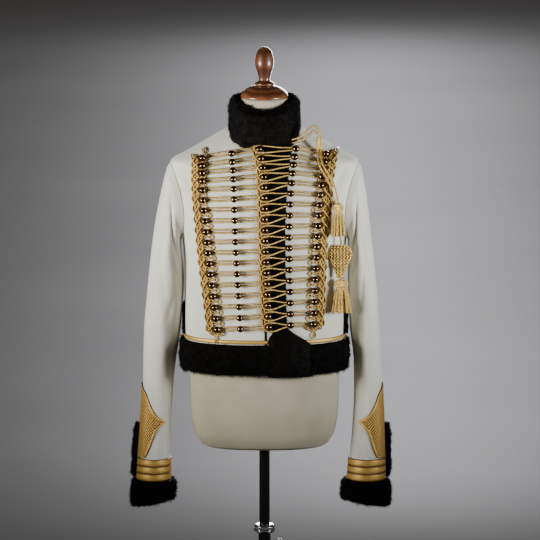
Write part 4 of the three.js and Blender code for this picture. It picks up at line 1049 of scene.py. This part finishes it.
def make_collar():
    inside, outside = COLLAR["inside"], COLLAR["outside"]
    shares = [0, 0.36, 0.5, 0.6, 0.8, 1]

    def part_way(values, v):
        total = values[0]
        for k in range(1, len(values)):
            share = np.clip((v - shares[k - 1]) / (shares[k] - shares[k - 1]), 0, 1)
            total = total + (values[k] - values[k - 1]) * share
        return total

    def section(angle, v):
        """The collar's section from its inner foot over its top to its outer foot, v from 0 to 1."""
        turn = np.radians(angle)
        facing = np.cos(turn)
        front = mix(COLLAR["side"], COLLAR["front"], np.maximum(facing, 0) ** 1.5)
        back = mix(COLLAR["side"], COLLAR["back"], np.maximum(-facing, 0))
        top = np.where(facing > 0, front, back)
        sine, cosine = np.sin(turn), -np.cos(turn)
        off = np.abs((angle + 180) % 360 - 180)
        spread_out = 20 * np.exp(-((off - 42) / 24) ** 2) + 9 * np.exp(-(off / 22) ** 2)
        foot = outside - 2 + spread_out
        low = body_height(foot * sine, foot * cosine) + 2.6
        neck = body_height(NECK_RADIUS * sine, NECK_RADIUS * cosine) + 2.6
        radius = [inside, inside, (inside + outside) / 2 - 3, outside - 7, outside - 5 + spread_out * 0.35,
                  outside - 4 + spread_out]
        height = [neck + 3, top - 9, top - 4, top - 13, mix(low, top, 0.5), low + 1]
        return part_way([value + 0 * top for value in radius], v), part_way(height, v), turn

    def place(angle, v, out):
        angle, v, out = together(angle, v, out)
        v = np.clip(v, 0, 1)
        r, z, turn = section(angle, v)
        r2, z2, _ = section(angle, np.clip(v + 0.02, 0, 1))
        r1, z1, _ = section(angle, np.clip(v - 0.02, 0, 1))
        dr, dz = r2 - r1, z2 - z1
        size = np.maximum(np.hypot(dr, dz), 1e-6)
        ring_r = r - out * dz / size
        return np.stack([ring_r * np.sin(turn), -ring_r * np.cos(turn), z + out * dr / size], -1)

    def core(angle, v):
        gap = np.minimum((angle - COLLAR["opening"]) % 360, (COLLAR["opening"] - angle) % 360)
        thick = 2.2 + 2.0 * np.sin(math.pi * np.clip(v, 0, 1)) * (v > shares[1])
        return thick * np.minimum(1, 0.85 + gap / 5) + depth

    depth = 9.0
    shape = Shape()
    across = np.linspace(COLLAR["opening"] - 0.4, COLLAR["opening"] + 360.4, 120)
    fur(shape, lambda a, v, out: place(a, v, out - depth), across, np.linspace(0, 1, 30),
        core, 6.5, 1.8, (0, 0, -0.75), seed=41, base=0)
    dress(shape.build("collar_pelt", FUR), "fur", "fur_collar")


def make_cuff(label, side):
    def place(angle, z, out):
        low, high = CUFF_FUR["bottom"], CUFF_FUR["top"]
        row = sleeve_row(side, mix(low + 8, high, (z - low) / (high - low)))
        point = sleeve_point(side, angle, row, out)
        inner = (1 - np.cos(np.radians(angle))) / 2
        point[..., 2] = z + CUFF_TILT * inner * (high - z) / (high - low)
        return point

    def core(angle, z):
        share = (z - CUFF_FUR["bottom"]) / (CUFF_FUR["top"] - CUFF_FUR["bottom"])
        return CUFF_FUR["height"] * rounded(np.clip(share, 0, 1), 0.35)

    shape = Shape()
    across = np.linspace(HIND_SEAM, HIND_SEAM + 360, 73)[:-1]
    along = np.linspace(CUFF_FUR["bottom"], CUFF_FUR["top"], 14)
    fur(shape, place, across, along, core, 8, 1.75, (0, 0, -0.7), closed=True, seed=51 + side)
    dress(shape.build(f"cuff_{label}_pelt", FUR), "fur", f"fur_cuff_{label}")

    def place_slit(u, z, out):
        return sleeve_point(side, SLIT_FUR["half_reach"] * (2 * u - 1), sleeve_row(side, z), out)

    def slit_core(u, z):
        share = (z - SLIT_FUR["bottom"]) / (SLIT_FUR["top"] - SLIT_FUR["bottom"])
        return SLIT_FUR["height"] * rounded(np.clip(u, 0, 1), 0.4) * rounded(np.clip(share, 0, 1), 0.4)

    slit = Shape()
    along = np.linspace(SLIT_FUR["bottom"], SLIT_FUR["top"], 24)
    fur(slit, place_slit, np.linspace(0, 1, 9), along, slit_core, 6.5, 1.75, (0, 0, -0.5),
        seed=61 + side, base=SLIT_FUR["lift"])
    dress(slit.build(f"slit_{label}_pelt", FUR), "fur", f"fur_slit_{label}")


# Gold lace and braid

def ridge(share):
    return np.sqrt(np.maximum(0, 1 - (2 * share - 1) ** 2))


def lattice(s, t, pitch):
    """Raised crossing threads, 0 to 1, each over one and under one."""
    a, b = math.pi * (s + t) / pitch, math.pi * (s - t) / pitch
    over = 0.5 + 0.5 * np.sign(np.cos(a) * np.cos(b))
    first, second = np.abs(np.cos(a)) ** 3, np.abs(np.cos(b)) ** 3
    return np.maximum(first * (0.72 + 0.28 * over), second * (0.72 + 0.28 * (1 - over)))


LACE_BRAIDS = 3
SLEEVE_GIRTH = 250
SPEAR_EDGE = 5.5
SPEAR_PITCH = 6.6


def make_cuff_lace(label, side):
    def place(angle, z, out):
        return sleeve_point(side, angle, sleeve_row(side, z), out)

    girth = SLEEVE_GIRTH / 360
    angle, z = np.meshgrid(np.linspace(HIND_SEAM, HIND_SEAM + 360, 211)[:-1], np.linspace(*LACE_BAND, 49))
    rows = (z - LACE_BAND[0]) / (LACE_BAND[1] - LACE_BAND[0]) * LACE_BRAIDS
    part = rows - np.floor(np.minimum(rows, LACE_BRAIDS - 0.001))
    slant = angle * girth + 6.0 * np.abs(part - 0.5) * 2
    strand = np.abs(np.cos(math.pi * slant / 3.6))
    relief = 2.2 * ridge(part) ** 0.7 * (0.6 + 0.4 * strand)
    band = Shape()
    shade = np.clip(ridge(part) * (0.35 + 0.65 * strand), 0, 1)
    layers = [place(angle, z, out) for out in (LIFT + 0.5 + relief, 0.3)]
    wall(band, *layers, closed=True, shade=shade)
    dress(band.build(f"lace_band_{label}_braids", GILT_LACE), "gold", f"lace_band_{label}")

    angle = np.linspace(-SPEAR_REACH, SPEAR_REACH, 225)[None]
    low = level(SPEAR_ANGLE, SPEAR_LOW, np.abs(angle)) + 0.6
    high = level(SPEAR_ANGLE, SPEAR_HIGH, np.abs(angle))
    z = mix(low, high, np.linspace(0, 1, 92)[:, None])
    s = angle * girth
    tilt_high, tilt_low = (np.abs(np.gradient(edge[0], s[0]))[None] for edge in (high, low))
    from_low = (z - low) / np.sqrt(1 + tilt_low ** 2) + 20 * (tilt_low < 0.2)
    inward = np.minimum((high - z) / np.sqrt(1 + tilt_high ** 2), from_low)
    edge_twist = 0.55 + 0.45 * np.abs(np.cos(math.pi * (s + z) / 3.8))
    border = ridge(np.clip(inward / SPEAR_EDGE, 0, 1)) ** 0.7 * edge_twist
    threads = lattice(s + 1.1 * np.sin(z / 5), z, SPEAR_PITCH)
    share = np.where(inward < SPEAR_EDGE, border, np.where(inward > SPEAR_EDGE, threads, 0))
    spear = Shape()
    layers = [place(angle, z, out) for out in (1.9 + 2.0 * share, 0.5)]
    wall(spear, *layers, shade=np.clip(share * 1.1 - 0.1, 0, 1))
    dress(spear.build(f"lace_spear_{label}_knotwork", GILT_LACE), "gold", f"lace_spear_{label}")


def make_hem_braid():
    start = float(angle_across(FUR_TAIL["right"] - 14, HEM_BRAID["top"]))
    end = 360 + float(angle_across(OPENING_X + 0.5, HEM_BRAID["top"]))
    angle, v = np.meshgrid(np.linspace(start, end, 700), np.linspace(0, 1, 9))
    s = angle * 900 / 360
    strand = np.abs(np.cos(math.pi * (s + 5 * np.abs(v - 0.5) * 2) / 4.2))
    relief = 0.7 + 2.2 * ridge(v) * (0.5 + 0.5 * strand)
    shade = np.clip(0.3 + 0.7 * ridge(v) * strand, 0, 1)
    z = mix(HEM_BRAID["bottom"], HEM_BRAID["top"], v)
    shape = Shape()
    wall(shape, *[body_point(angle, z, out) for out in (LIFT * 0.5 + relief, 0.2)], shade=shade)
    dress(shape.build("hem_chevron_braid", GILT_LACE), "gold", "braid_hem")


# Frogging

def lay_on_front(shape, route, radius, step=1.5, **more):
    """A cord along route points of x, z and height, laid on the front."""
    x, z, out = through(route, step).T
    path = on_front(x, z, out)
    up = unit(on_front(x, z, out + 2) - path)
    cord(shape, path, radius, up, **more)


def lay_row_cords(shape, at, row, wander):
    """The row's doubled cord, from the first button to the loop's end and from the fourth to the fifth."""
    first, second, third, fourth, fifth = at
    for sign in (1, -1):
        near = sign * CORD_APART

        def between(start, end, share, off):
            return mix(start[0], end[0], share), mix(start[1], end[1], share) + near + off, CORD_OUT

        lay_on_front(shape, [
            (first[0] - 5.5, first[1] + sign * 2.2, 2.4), (first[0] + 4, first[1] + near * 1.15, 2.2),
            between(first, second, 0.33, wander[0]), between(first, second, 0.66, wander[1]),
            (second[0], second[1] + near, 2.2), between(second, third, 0.4, wander[2]),
            (third[0] - 17, mix(second[1], third[1], 0.75) + near * 1.1, 2.2),
            (third[0] - 10.5, third[1] + sign * 4.4, 2.6), (third[0] - 6, third[1] + sign * 5.6, 2.8),
        ], CORD, turn=row + sign)
        lay_on_front(shape, [
            (fourth[0] - 3, fourth[1] + sign * 1.7, 2.6), (fourth[0] + 6, fourth[1] + near, 2.2),
            between(fourth, fifth, 0.5, wander[3]), (fifth[0] - 4, fifth[1] + near, 2.2),
            (fifth[0] + 5.5, fifth[1] + sign * 1.6, 2.4),
        ], CORD, turn=row * 2 + sign)


def lay_loop(shape, far, turn_at, opening):
    """The button loop, which crosses the fur from the fourth button and goes round the third."""
    over = LIFT + FUR_EDGE_HEIGHT + CORD + 1.2

    def axis(x):
        return mix(turn_at[1], far[1], (x - turn_at[0]) / (far[0] - turn_at[0]))

    halfway = mix(far[0], turn_at[0], 0.45)
    legs = [
        (far[0] - 1, 2.1, 4.6), (far[0] - 7.5, 2.3, over - 2.4), (mix(far[0], halfway, 0.6), 2.9, over - 0.2),
        (halfway, opening * 0.55, over + 0.3), (mix(halfway, turn_at[0] + 10, 0.6), opening * 0.86, over),
        (turn_at[0] + 9, opening, over - 0.8), (turn_at[0] + 1, opening * 1.02, over - 4),
        (turn_at[0] - 6, opening * 0.8, 6.4), (turn_at[0] - 9.8, opening * 0.32, 5.6),
    ]
    upper, lower = ([(x, axis(x) + side * rise, out) for x, rise, out in legs] for side in (1, -1))
    lay_on_front(shape, upper + lower[::-1], CORD * 0.88)


def make_frogging():
    for row in range(1, ROWS + 1):
        at = [column_at(column, row) for column in range(5)]
        above = column_at(2, max(1, row - 0.5))[1]
        below = column_at(2, min(ROWS, row + 0.5))[1]
        pitch = (above - below) * (2 if row in (1, ROWS) else 1)
        shape = Shape()
        lay_row_cords(shape, at, row, chance.uniform(-0.5, 0.5, 12))
        lay_loop(shape, at[3], at[2], pitch / 2 - CORD - 0.1)
        for x, z in at:
            centre = on_front(x, z, BALL_OUT)
            add_ball(shape, centre, BALL_RADIUS, on_front(x, z, BALL_OUT + 2) - centre, 1)
        number = f"{row:02d}"
        dress(shape.build(f"frogging_row_{number}", GILT_CORD, BALL_GILT), "gold", f"frogging_{number}")


def foot_strip(shape, middle, z, half):
    """A flat brown braid down the front under the cords, half millimetres wide to each side; its dark brown
    is partly the braid's own colour and partly painted shade in the gaps between the cords.
    """
    shares = np.linspace(-1, 1, 5)
    x = middle[:, None] + np.asarray(half, float).reshape(-1, 1) * shares
    wall(shape, *[on_front(x, z[:, None], out)[::4] for out in (1.5, 0.4)], slot=1)


def down_column(column, rows):
    """Points down a button column, carried on past its first and last rows."""
    inside = np.clip(rows, 1, ROWS)
    x, z = (level(KNOT_ROWS, table[column], inside) for table in (COLUMN_X, COLUMN_Z))
    return x, z + (inside - rows) * PAST_ROWS


def make_column_cord():
    """The cord that runs down beside the third column, under the loops' ends."""
    shape = Shape()
    rows = np.linspace(0.95, ROWS + 0.3, 160)
    x, z = down_column(2, rows)
    middle = x - 11
    for sign in (1, -1):
        swing = np.sin(math.pi * rows) * sign
        route = np.stack([middle + 3.1 * swing, z, 4.0 + 1.3 * np.cos(math.pi * rows) * sign], -1)
        lay_on_front(shape, route, 2.1)
    foot_strip(shape, middle, z, 5.2)
    dress(shape.build("column_cord", GILT_CORD, FOOT_BRAID_DARKENED_AS_SHADE), "gold")


def make_border(label, column, side):
    """Plaited cords outside the last button column, with curls on its inner side and a knot below."""
    rows = np.linspace(0.86, ROWS + 0.35, 420)
    x, z = down_column(column, rows)
    reach = 5.4 + (1.4 * (1 - smoothstep(rows, 9.2, 10.4)) if side > 0 else 0)
    middle = x + side * (BORDER_NEAR + reach + 0.6)
    shape = Shape()
    foot_strip(shape, middle, z, reach + 1)
    for sign in (1, -1):
        swing = sign * np.sin(math.pi * rows)
        route = np.stack([middle + side * reach * swing, z, 4.4 + 1.7 * sign * np.cos(math.pi * rows)], -1)
        lay_on_front(shape, route[::3], 2.5)
    lobe = np.cos(2 * math.pi * rows)
    for place, swing, thick in ((-0.45, -1.5, 1.9), (0.5, 1.5, 1.7)):
        route = np.stack([middle + side * (reach * place + swing * lobe), z, 3.0 + 0 * z], -1)
        lay_on_front(shape, route[::3], thick)
    scallop = np.stack([middle + side * (reach + 2.2 + 1.5 * lobe), z, 2.8 + 0 * z], -1)
    lay_on_front(shape, scallop[::3], 1.9)
    for row in range(1, ROWS):
        cx, cz = column_at(column, row + 0.5)
        size, off = (2.6, 4.5) if row < WIDE_CURLS else (3.5, 11.0)
        centre = cx - side * off
        ring = [
            (centre - side * size * math.cos(a), cz + size * math.sin(a), 2.4 + 0.25 * a)
            for a in np.linspace(-2.5, 2.5, 9)
        ]
        first = [(cx + side * 10, cz + 2.0, 2.6), (cx + side * 2, cz + 2.1, 2.4)]
        last = [(cx + side * 2, cz - 2.1, 2.8), (cx + side * 10, cz - 2.0, 2.8)]
        lay_on_front(shape, first + ring + last, 1.75, step=1.3)
    fx, fz = column_at(column, ROWS)
    size = 14 if side < 0 else 16
    petals = np.linspace(0, math.pi, 40)
    reach = size * np.cos(3 * petals)
    knot = np.stack([
        fx + side * 1.5 - reach * np.sin(petals) * 1.15, fz - 17 - reach * np.cos(petals) * 0.95 + 3,
        4.2 + 1.1 * np.sin(6 * petals + 0.6),
    ], -1)
    lay_on_front(shape, knot, 1.9)
    lay_on_front(shape, [(fx, fz - 4, 3), (fx - side * 2, fz - 10, 3.2), (fx, fz - 16, 3.4)], 1.6)
    if side < 0:
        tx, tz = column_at(column, 1)
        ring = [
            (tx + 4 + 4.5 * math.cos(a), tz + 12 + 5 * math.sin(a), 2.3 + 0.1 * a)
            for a in np.linspace(0, 6.1, 9)
        ]
        lay_on_front(shape, ring, 1.8)
    dress(shape.build(f"border_{label}_plait", GILT_CORD, FOOT_BRAID_DARKENED_AS_SHADE), "gold", f"border_{label}")


# Hanging cords and tassels

def woven_knob(shape, profile, centre, flat=1.0, ribs=10, slot=0, relief=0.55):
    """A turned wooden mould covered with crossing gilt threads: radius and height pairs."""
    rings = through([(r, 0, z) for r, z in profile], 1.1)
    radius, height = rings[:, 0], rings[:, 2]
    sides = 44
    angle = 2 * math.pi * np.arange(sides) / sides
    slope = 1.3
    around, rise = ribs / 2 * angle[None], height[:, None] / slope
    cross = np.abs(np.sin(around + rise)) * np.abs(np.sin(around - rise))
    r = np.maximum(radius[:, None] + relief * (cross - 0.3) * np.minimum(1, radius[:, None] / 3), 0.05)
    points = np.stack([
        centre[0] + r * np.cos(angle), centre[1] + flat * r * np.sin(angle),
        centre[2] + height[:, None] + 0 * r,
    ], -1)

    def wound_uv(s, c):
        return corners_uv(c / 6, (c + 1) / 6, s * 0.11, (s + 1) * 0.11)

    add_tube(shape, points, wound_uv, slot, inside_out=height[-1] < height[0])


def make_tassel(name, node, size):
    shape = Shape()
    centre = (size["x"], size["y"], size["top"])
    profile = [(r * size["radius"], z * size["head"]) for r, z in TASSEL_HEAD]
    woven_knob(shape, profile, centre, TASSEL_FLAT, ribs=14)
    root = size["top"] - size["head"]
    inner = size["strands"] // 2
    for count, share in ((size["strands"], 1.0), (inner, 0.55)):
        for k in range(count):
            angle = 2 * math.pi * (k + chance.uniform(-0.2, 0.2)) / count
            drop = size["skirt"] * chance.uniform(0.93, 1.0)
            start = size["radius"] * 0.7 * share
            end = size["foot"] * share * chance.uniform(0.9, 1.0) - 2
            route = []
            for t in (0, 0.25, 0.6, 1):
                reach = mix(start, end, t ** 0.8)
                sway = chance.uniform(-0.6, 0.6) * t
                x = size["x"] + reach * math.cos(angle) + sway
                y = size["y"] + TASSEL_FLAT * reach * math.sin(angle)
                route.append((x, y, root + 2 - drop * t))
            cord(shape, through(route, 1.5), size["thick"], lay=7.5, lobes=2, depth=0.35, turn=k)
    return dress(shape.build(name, BULLION), "gold", node)


def make_slide():
    shape = Shape()
    tall = SLIDE["top"] - SLIDE["bottom"]
    profile = [(r * SLIDE["radius"], z * tall) for r, z in SLIDE_SHAPE]
    woven_knob(shape, profile, (SLIDE["x"], SLIDE["y"], SLIDE["bottom"]), ribs=10)
    return dress(shape.build("cord_slide_woven", BULLION), "gold", "cord_slide")


def make_lozenge():
    """A flat plait in a kite shape: cords cross over and under between its edges."""
    shape = Shape()

    def half(z):
        return level(LOZENGE_Z, LOZENGE_HALF, z)

    low, high = LOZENGE_Z[0], LOZENGE_Z[-1]
    apart, radius, span = 6.8, 1.6, 60
    t = np.arange(-span, span, 1.4)
    for face, lift in ((-1, 2.0), (1, 1.2)):
        for sense in (1, -1):
            for offset in np.arange(-span, span + 1, apart):
                x, z = sense * t, (low + high) / 2 + t + offset
                inside = (z > low + 1) & (z < high - 1) & (np.abs(x) < half(np.clip(z, low, high)) - 1.2)
                if inside.sum() < 5:
                    continue
                x, z = x[inside], z[inside]
                weave = 1.25 * np.sin(math.pi * x * sense * 2 / apart + (0 if sense > 0 else math.pi))
                y = LOZENGE["y"] + face * lift - weave
                cord(shape, np.stack([LOZENGE["x"] + x, y, z], -1), radius, lay=9, depth=0.2)
    z = np.linspace(low + 2, high - 2, 24)[:, None]
    x = LOZENGE["x"] + (half(z) - 2) * np.linspace(-1, 1, 7)[None]
    # A dark foot braid backing inside the plait: painted shade in the gaps between its cords
    wall(shape, *[np.stack(together(x, LOZENGE["y"] + out, z), -1) for out in (-0.7, 0.9)], slot=1)
    z = z.ravel()
    sides = [
        np.stack([LOZENGE["x"] + side * (half(line) - 1.2), LOZENGE["y"] + 0 * line, line], -1)
        for side, line in ((1, z), (-1, z[::-1]))
    ]
    cord(shape, through(np.concatenate(sides), 1.5), 2.0, lay=9)
    return dress(shape.build("lozenge_plait", BULLION, FOOT_BRAID_DARKENED_AS_SHADE), "gold", "lozenge")


def make_hanging_cord(name, node, route):
    path = through(route, 1.3)
    shape = Shape()
    cord(shape, path, HANGING_RADIUS, lay=11)
    piece = dress(shape.build(name, GILT_CORD), "gold", node)


def make_cords():
    slide = make_slide()
    short = make_tassel("tassel_short_bullion", "tassel_short", TASSEL_SHORT)
    lozenge = make_lozenge()
    long = make_tassel("tassel_long_bullion", "tassel_long", TASSEL_LONG)
    make_hanging_cord("shoulder_cord_1", "cord_loop_1", LOOP_CORDS[0])
    make_hanging_cord("shoulder_cord_2", "cord_loop_2", LOOP_CORDS[1])
    make_hanging_cord("tassel_cord_short", "cord_drop_short", DROP_SHORT)
    make_hanging_cord("tassel_cord_long", "cord_drop_long", DROP_LONG + INSIDE_LOZENGE)


# Dress form and stand

def make_form():
    z_rows, halves, fronts, backs = np.array(FORM, float).T
    low, high = z_rows[0], z_rows[-1]
    close = np.linspace(low, low + FORM_EDGE, 9)
    z = np.unique(np.concatenate([close, np.linspace(low + FORM_EDGE, high, 110), z_rows]))[:, None]
    angle = np.linspace(0, 2 * math.pi, 121)[:-1][None]
    half = level(z_rows, halves, z)
    depth = np.where(np.cos(angle) > 0, level(z_rows, fronts, z), level(z_rows, backs, z))
    exponent = 2 / (2 + (SQUARE - 2) * (1 - smoothstep(z, *FORM_ROUNDS)))
    off = np.degrees(angle) % 180
    seam = 0.9 * np.exp(-(off / 0.9) ** 2) + 0.9 * np.exp(-((180 - off) / 0.9) ** 2)
    x = half * power(np.sin(angle), exponent)
    y = -(depth - seam) * power(np.cos(angle), exponent)
    rings = np.stack(np.broadcast_arrays(x, y, z), -1)
    shape = Shape()
    poles = np.array([[0, 0, low], [0, 0, high]])
    add_tube(shape, rings, lambda r, c: np.zeros((len(r), 4, 2)), ends=poles)
    dress(shape.build("form_cover", JERSEY), "linen", "form_torso")


def turned(name, profile, material, sides=64, step=2.2, bore=0.0):
    """Turns a profile of radius and height on the Z axis: a disc extruded ring by ring."""
    bpy.ops.object.select_all(action="DESELECT")
    fine = np.array([(r, 0, z) for r, z in profile], float)
    fine = through(fine, step) if step else fine
    fill = "NOTHING" if bore else "NGON"
    bpy.ops.mesh.primitive_circle_add(vertices=sides, radius=fine[0][0] * METRE, fill_type=fill)
    piece = bpy.context.object
    piece.name = name
    bpy.ops.object.mode_set(mode="EDIT")
    bpy.ops.mesh.select_all(action="SELECT")
    bpy.ops.transform.translate(value=(0, 0, fine[0][2] * METRE))
    for (r0, _, z0), (r1, _, z1) in zip(fine[:-1], fine[1:]):
        bpy.ops.mesh.extrude_region_move(TRANSFORM_OT_translate={"value": (0, 0, (z1 - z0) * METRE)})
        ratio = max(r1, 0.02) / max(r0, 0.02)
        bpy.ops.transform.resize(value=(ratio, ratio, 1), center_override=(0, 0, z1 * METRE))
    bpy.ops.mesh.select_all(action="SELECT")
    bpy.ops.mesh.remove_doubles(threshold=1e-6)
    bpy.ops.mesh.normals_make_consistent(inside=False)
    bpy.ops.object.mode_set(mode="OBJECT")
    bpy.ops.object.shade_smooth_by_angle(angle=math.radians(38))
    piece.data.materials.append(material)
    return piece


def make_stand():
    cap = turned("neck_cap_turned", NECK_CAP, BEECH)
    dress(cap, "wood", "form_neck_cap")
    finial = turned("finial_turned", FINIAL, BEECH, step=1.6)
    dress(finial, "wood", "form_finial")
    rod = [(POLE["radius"] - 0.6, POLE["bottom"]), (POLE["radius"], POLE["bottom"] + 0.6),
           (POLE["radius"], POLE["top"] - 0.6), (POLE["radius"] - 0.6, POLE["top"])]
    dress(turned("pole_rod", rod, ENAMEL, step=0), "black", "pole", body="pole")
    inside, outside = TUBE["inside"], TUBE["outside"]
    bottom, top = TUBE["bottom"], TUBE["top"]
    hollow = [(inside, bottom), (outside, bottom), (outside, top), (inside, top), (inside, bottom)]
    tube = turned("stand_tube_drawn", hollow, ENAMEL, step=0, bore=inside)
    dress(tube, "black", "stand_tube", body="stand")
    ring_line = [tuple(p[[0, 2]]) for p in through([(r, 0, z) for r, z in RING], 1.2)]
    ring = [(inside, RING[0][1]), *ring_line, (inside, RING[-1][1]), (inside, RING[0][1])]
    clamp = turned("clamp_ring_plated", ring, CHROME, step=0, bore=inside)
    dress(clamp, "chrome", "clamp_ring", body="stand")
    base_line = [(0.05, 0), *BASE, (13.3, 19.6), (0.05, 19.6)]
    dress(turned("base_cast", base_line, ENAMEL, step=0, sides=96), "black", "base", body="stand")
    head, start, end = KNOB["head"], KNOB["head_start"], KNOB["head_end"]
    grip = [(KNOB["stem"], KNOB["start"]), (KNOB["stem"], start), (head - 1.5, start), (head, start + 1.5),
            (head, end - 3), (head - 3, end), (0.5, end)]
    knob = turned("clamp_knob_grip", grip, ENAMEL, step=0, sides=48)
    points = np.array([v.co[:] for v in knob.data.vertices])
    radial = np.hypot(points[:, 0], points[:, 1])
    fluted = 1 - 0.06 * np.abs(np.sin(6 * np.arctan2(points[:, 1], points[:, 0])))
    groove = np.where(radial > (head - 2) * METRE, fluted, 1)
    points[:, :2] *= groove[:, None]
    moved = np.stack([points[:, 2], points[:, 1], -points[:, 0] + KNOB["z"] * METRE], -1)
    knob.data.vertices.foreach_set("co", moved.ravel())
    dress(knob, "black", "clamp_knob", body="knob")


# Studio

FLOOR_SIZE = 160
# Each light's name, place, target, width, height, watts, tint and spread in degrees
LIGHTS = [
    ("window_left", (-1.5, -0.92, 1.12), (0, 0, 1.18), 0.7, 0.45, 6.0, (1.0, 0.985, 0.95), 54),
    ("window_right", (1.5, -0.92, 1.12), (0, 0, 1.18), 0.7, 0.45, 4.8, (0.96, 0.985, 1.0), 54),
    ("window_rear", (0.4, 2.2, 1.3), (0, 0, 1.05), 1.0, 0.9, 12, (0.98, 0.98, 1.0), 76),
    ("floor_glow", (0.32, 6.9, 0.78), (0.32, 6.9, 0), 0.35, 9.0, 46, (0.98, 0.98, 1.0), 180),
]
WORLD_TINT = (1.0, 0.93, 0.84, 1)
WORLD_STRENGTH = 0.06


def make_studio():
    bpy.ops.object.select_all(action="DESELECT")
    bpy.ops.mesh.primitive_plane_add(size=FLOOR_SIZE)
    floor = bpy.context.object
    floor.name = "studio_floor"
    floor.data.materials.append(studio_paper("pale studio floor", "#B4B4B7", "#BCBCBF"))


def add_light(name, place, target, wide, tall, watts, tint, spread_degrees):
    bpy.ops.object.light_add(type="AREA", location=place)
    light = bpy.context.object
    light.name = name
    light.data.shape = "RECTANGLE"
    light.data.size, light.data.size_y = wide, tall
    light.data.spread = math.radians(spread_degrees)
    light.visible_camera = False
    light.data.energy = watts
    light.data.color = tint
    way = np.array(target, float) - np.array(place, float)
    tilt = math.atan2(math.hypot(way[0], way[1]), -way[2])
    light.rotation_euler = (tilt, 0, math.atan2(way[0], -way[1]) + math.pi)


def make_lights():
    for light in LIGHTS:
        add_light(*light)
    world = bpy.data.worlds.new("studio") if bpy.context.scene.world is None else bpy.context.scene.world
    bpy.context.scene.world = world
    world.use_nodes = True
    background = world.node_tree.nodes.get("Background")
    background.inputs["Color"].default_value = WORLD_TINT
    background.inputs["Strength"].default_value = WORLD_STRENGTH


make_cords()
make_front("front_left", -1)
make_front("front_right", 1)
make_back()
make_sleeve("left", -1)
make_sleeve("right", 1)
make_edge_fur()
make_hem_fur()
make_vent_fur("left", VENT_LEFT, 30)
make_vent_fur("right", VENT_RIGHT, 32)
make_collar()
for label, side in (("left", -1), ("right", 1)):
    make_cuff(label, side)
    make_cuff_lace(label, side)
make_hem_braid()
make_frogging()
make_column_cord()
make_border("left", 0, -1)
make_border("right", 4, 1)
make_form()
make_stand()
make_studio()
make_lights()
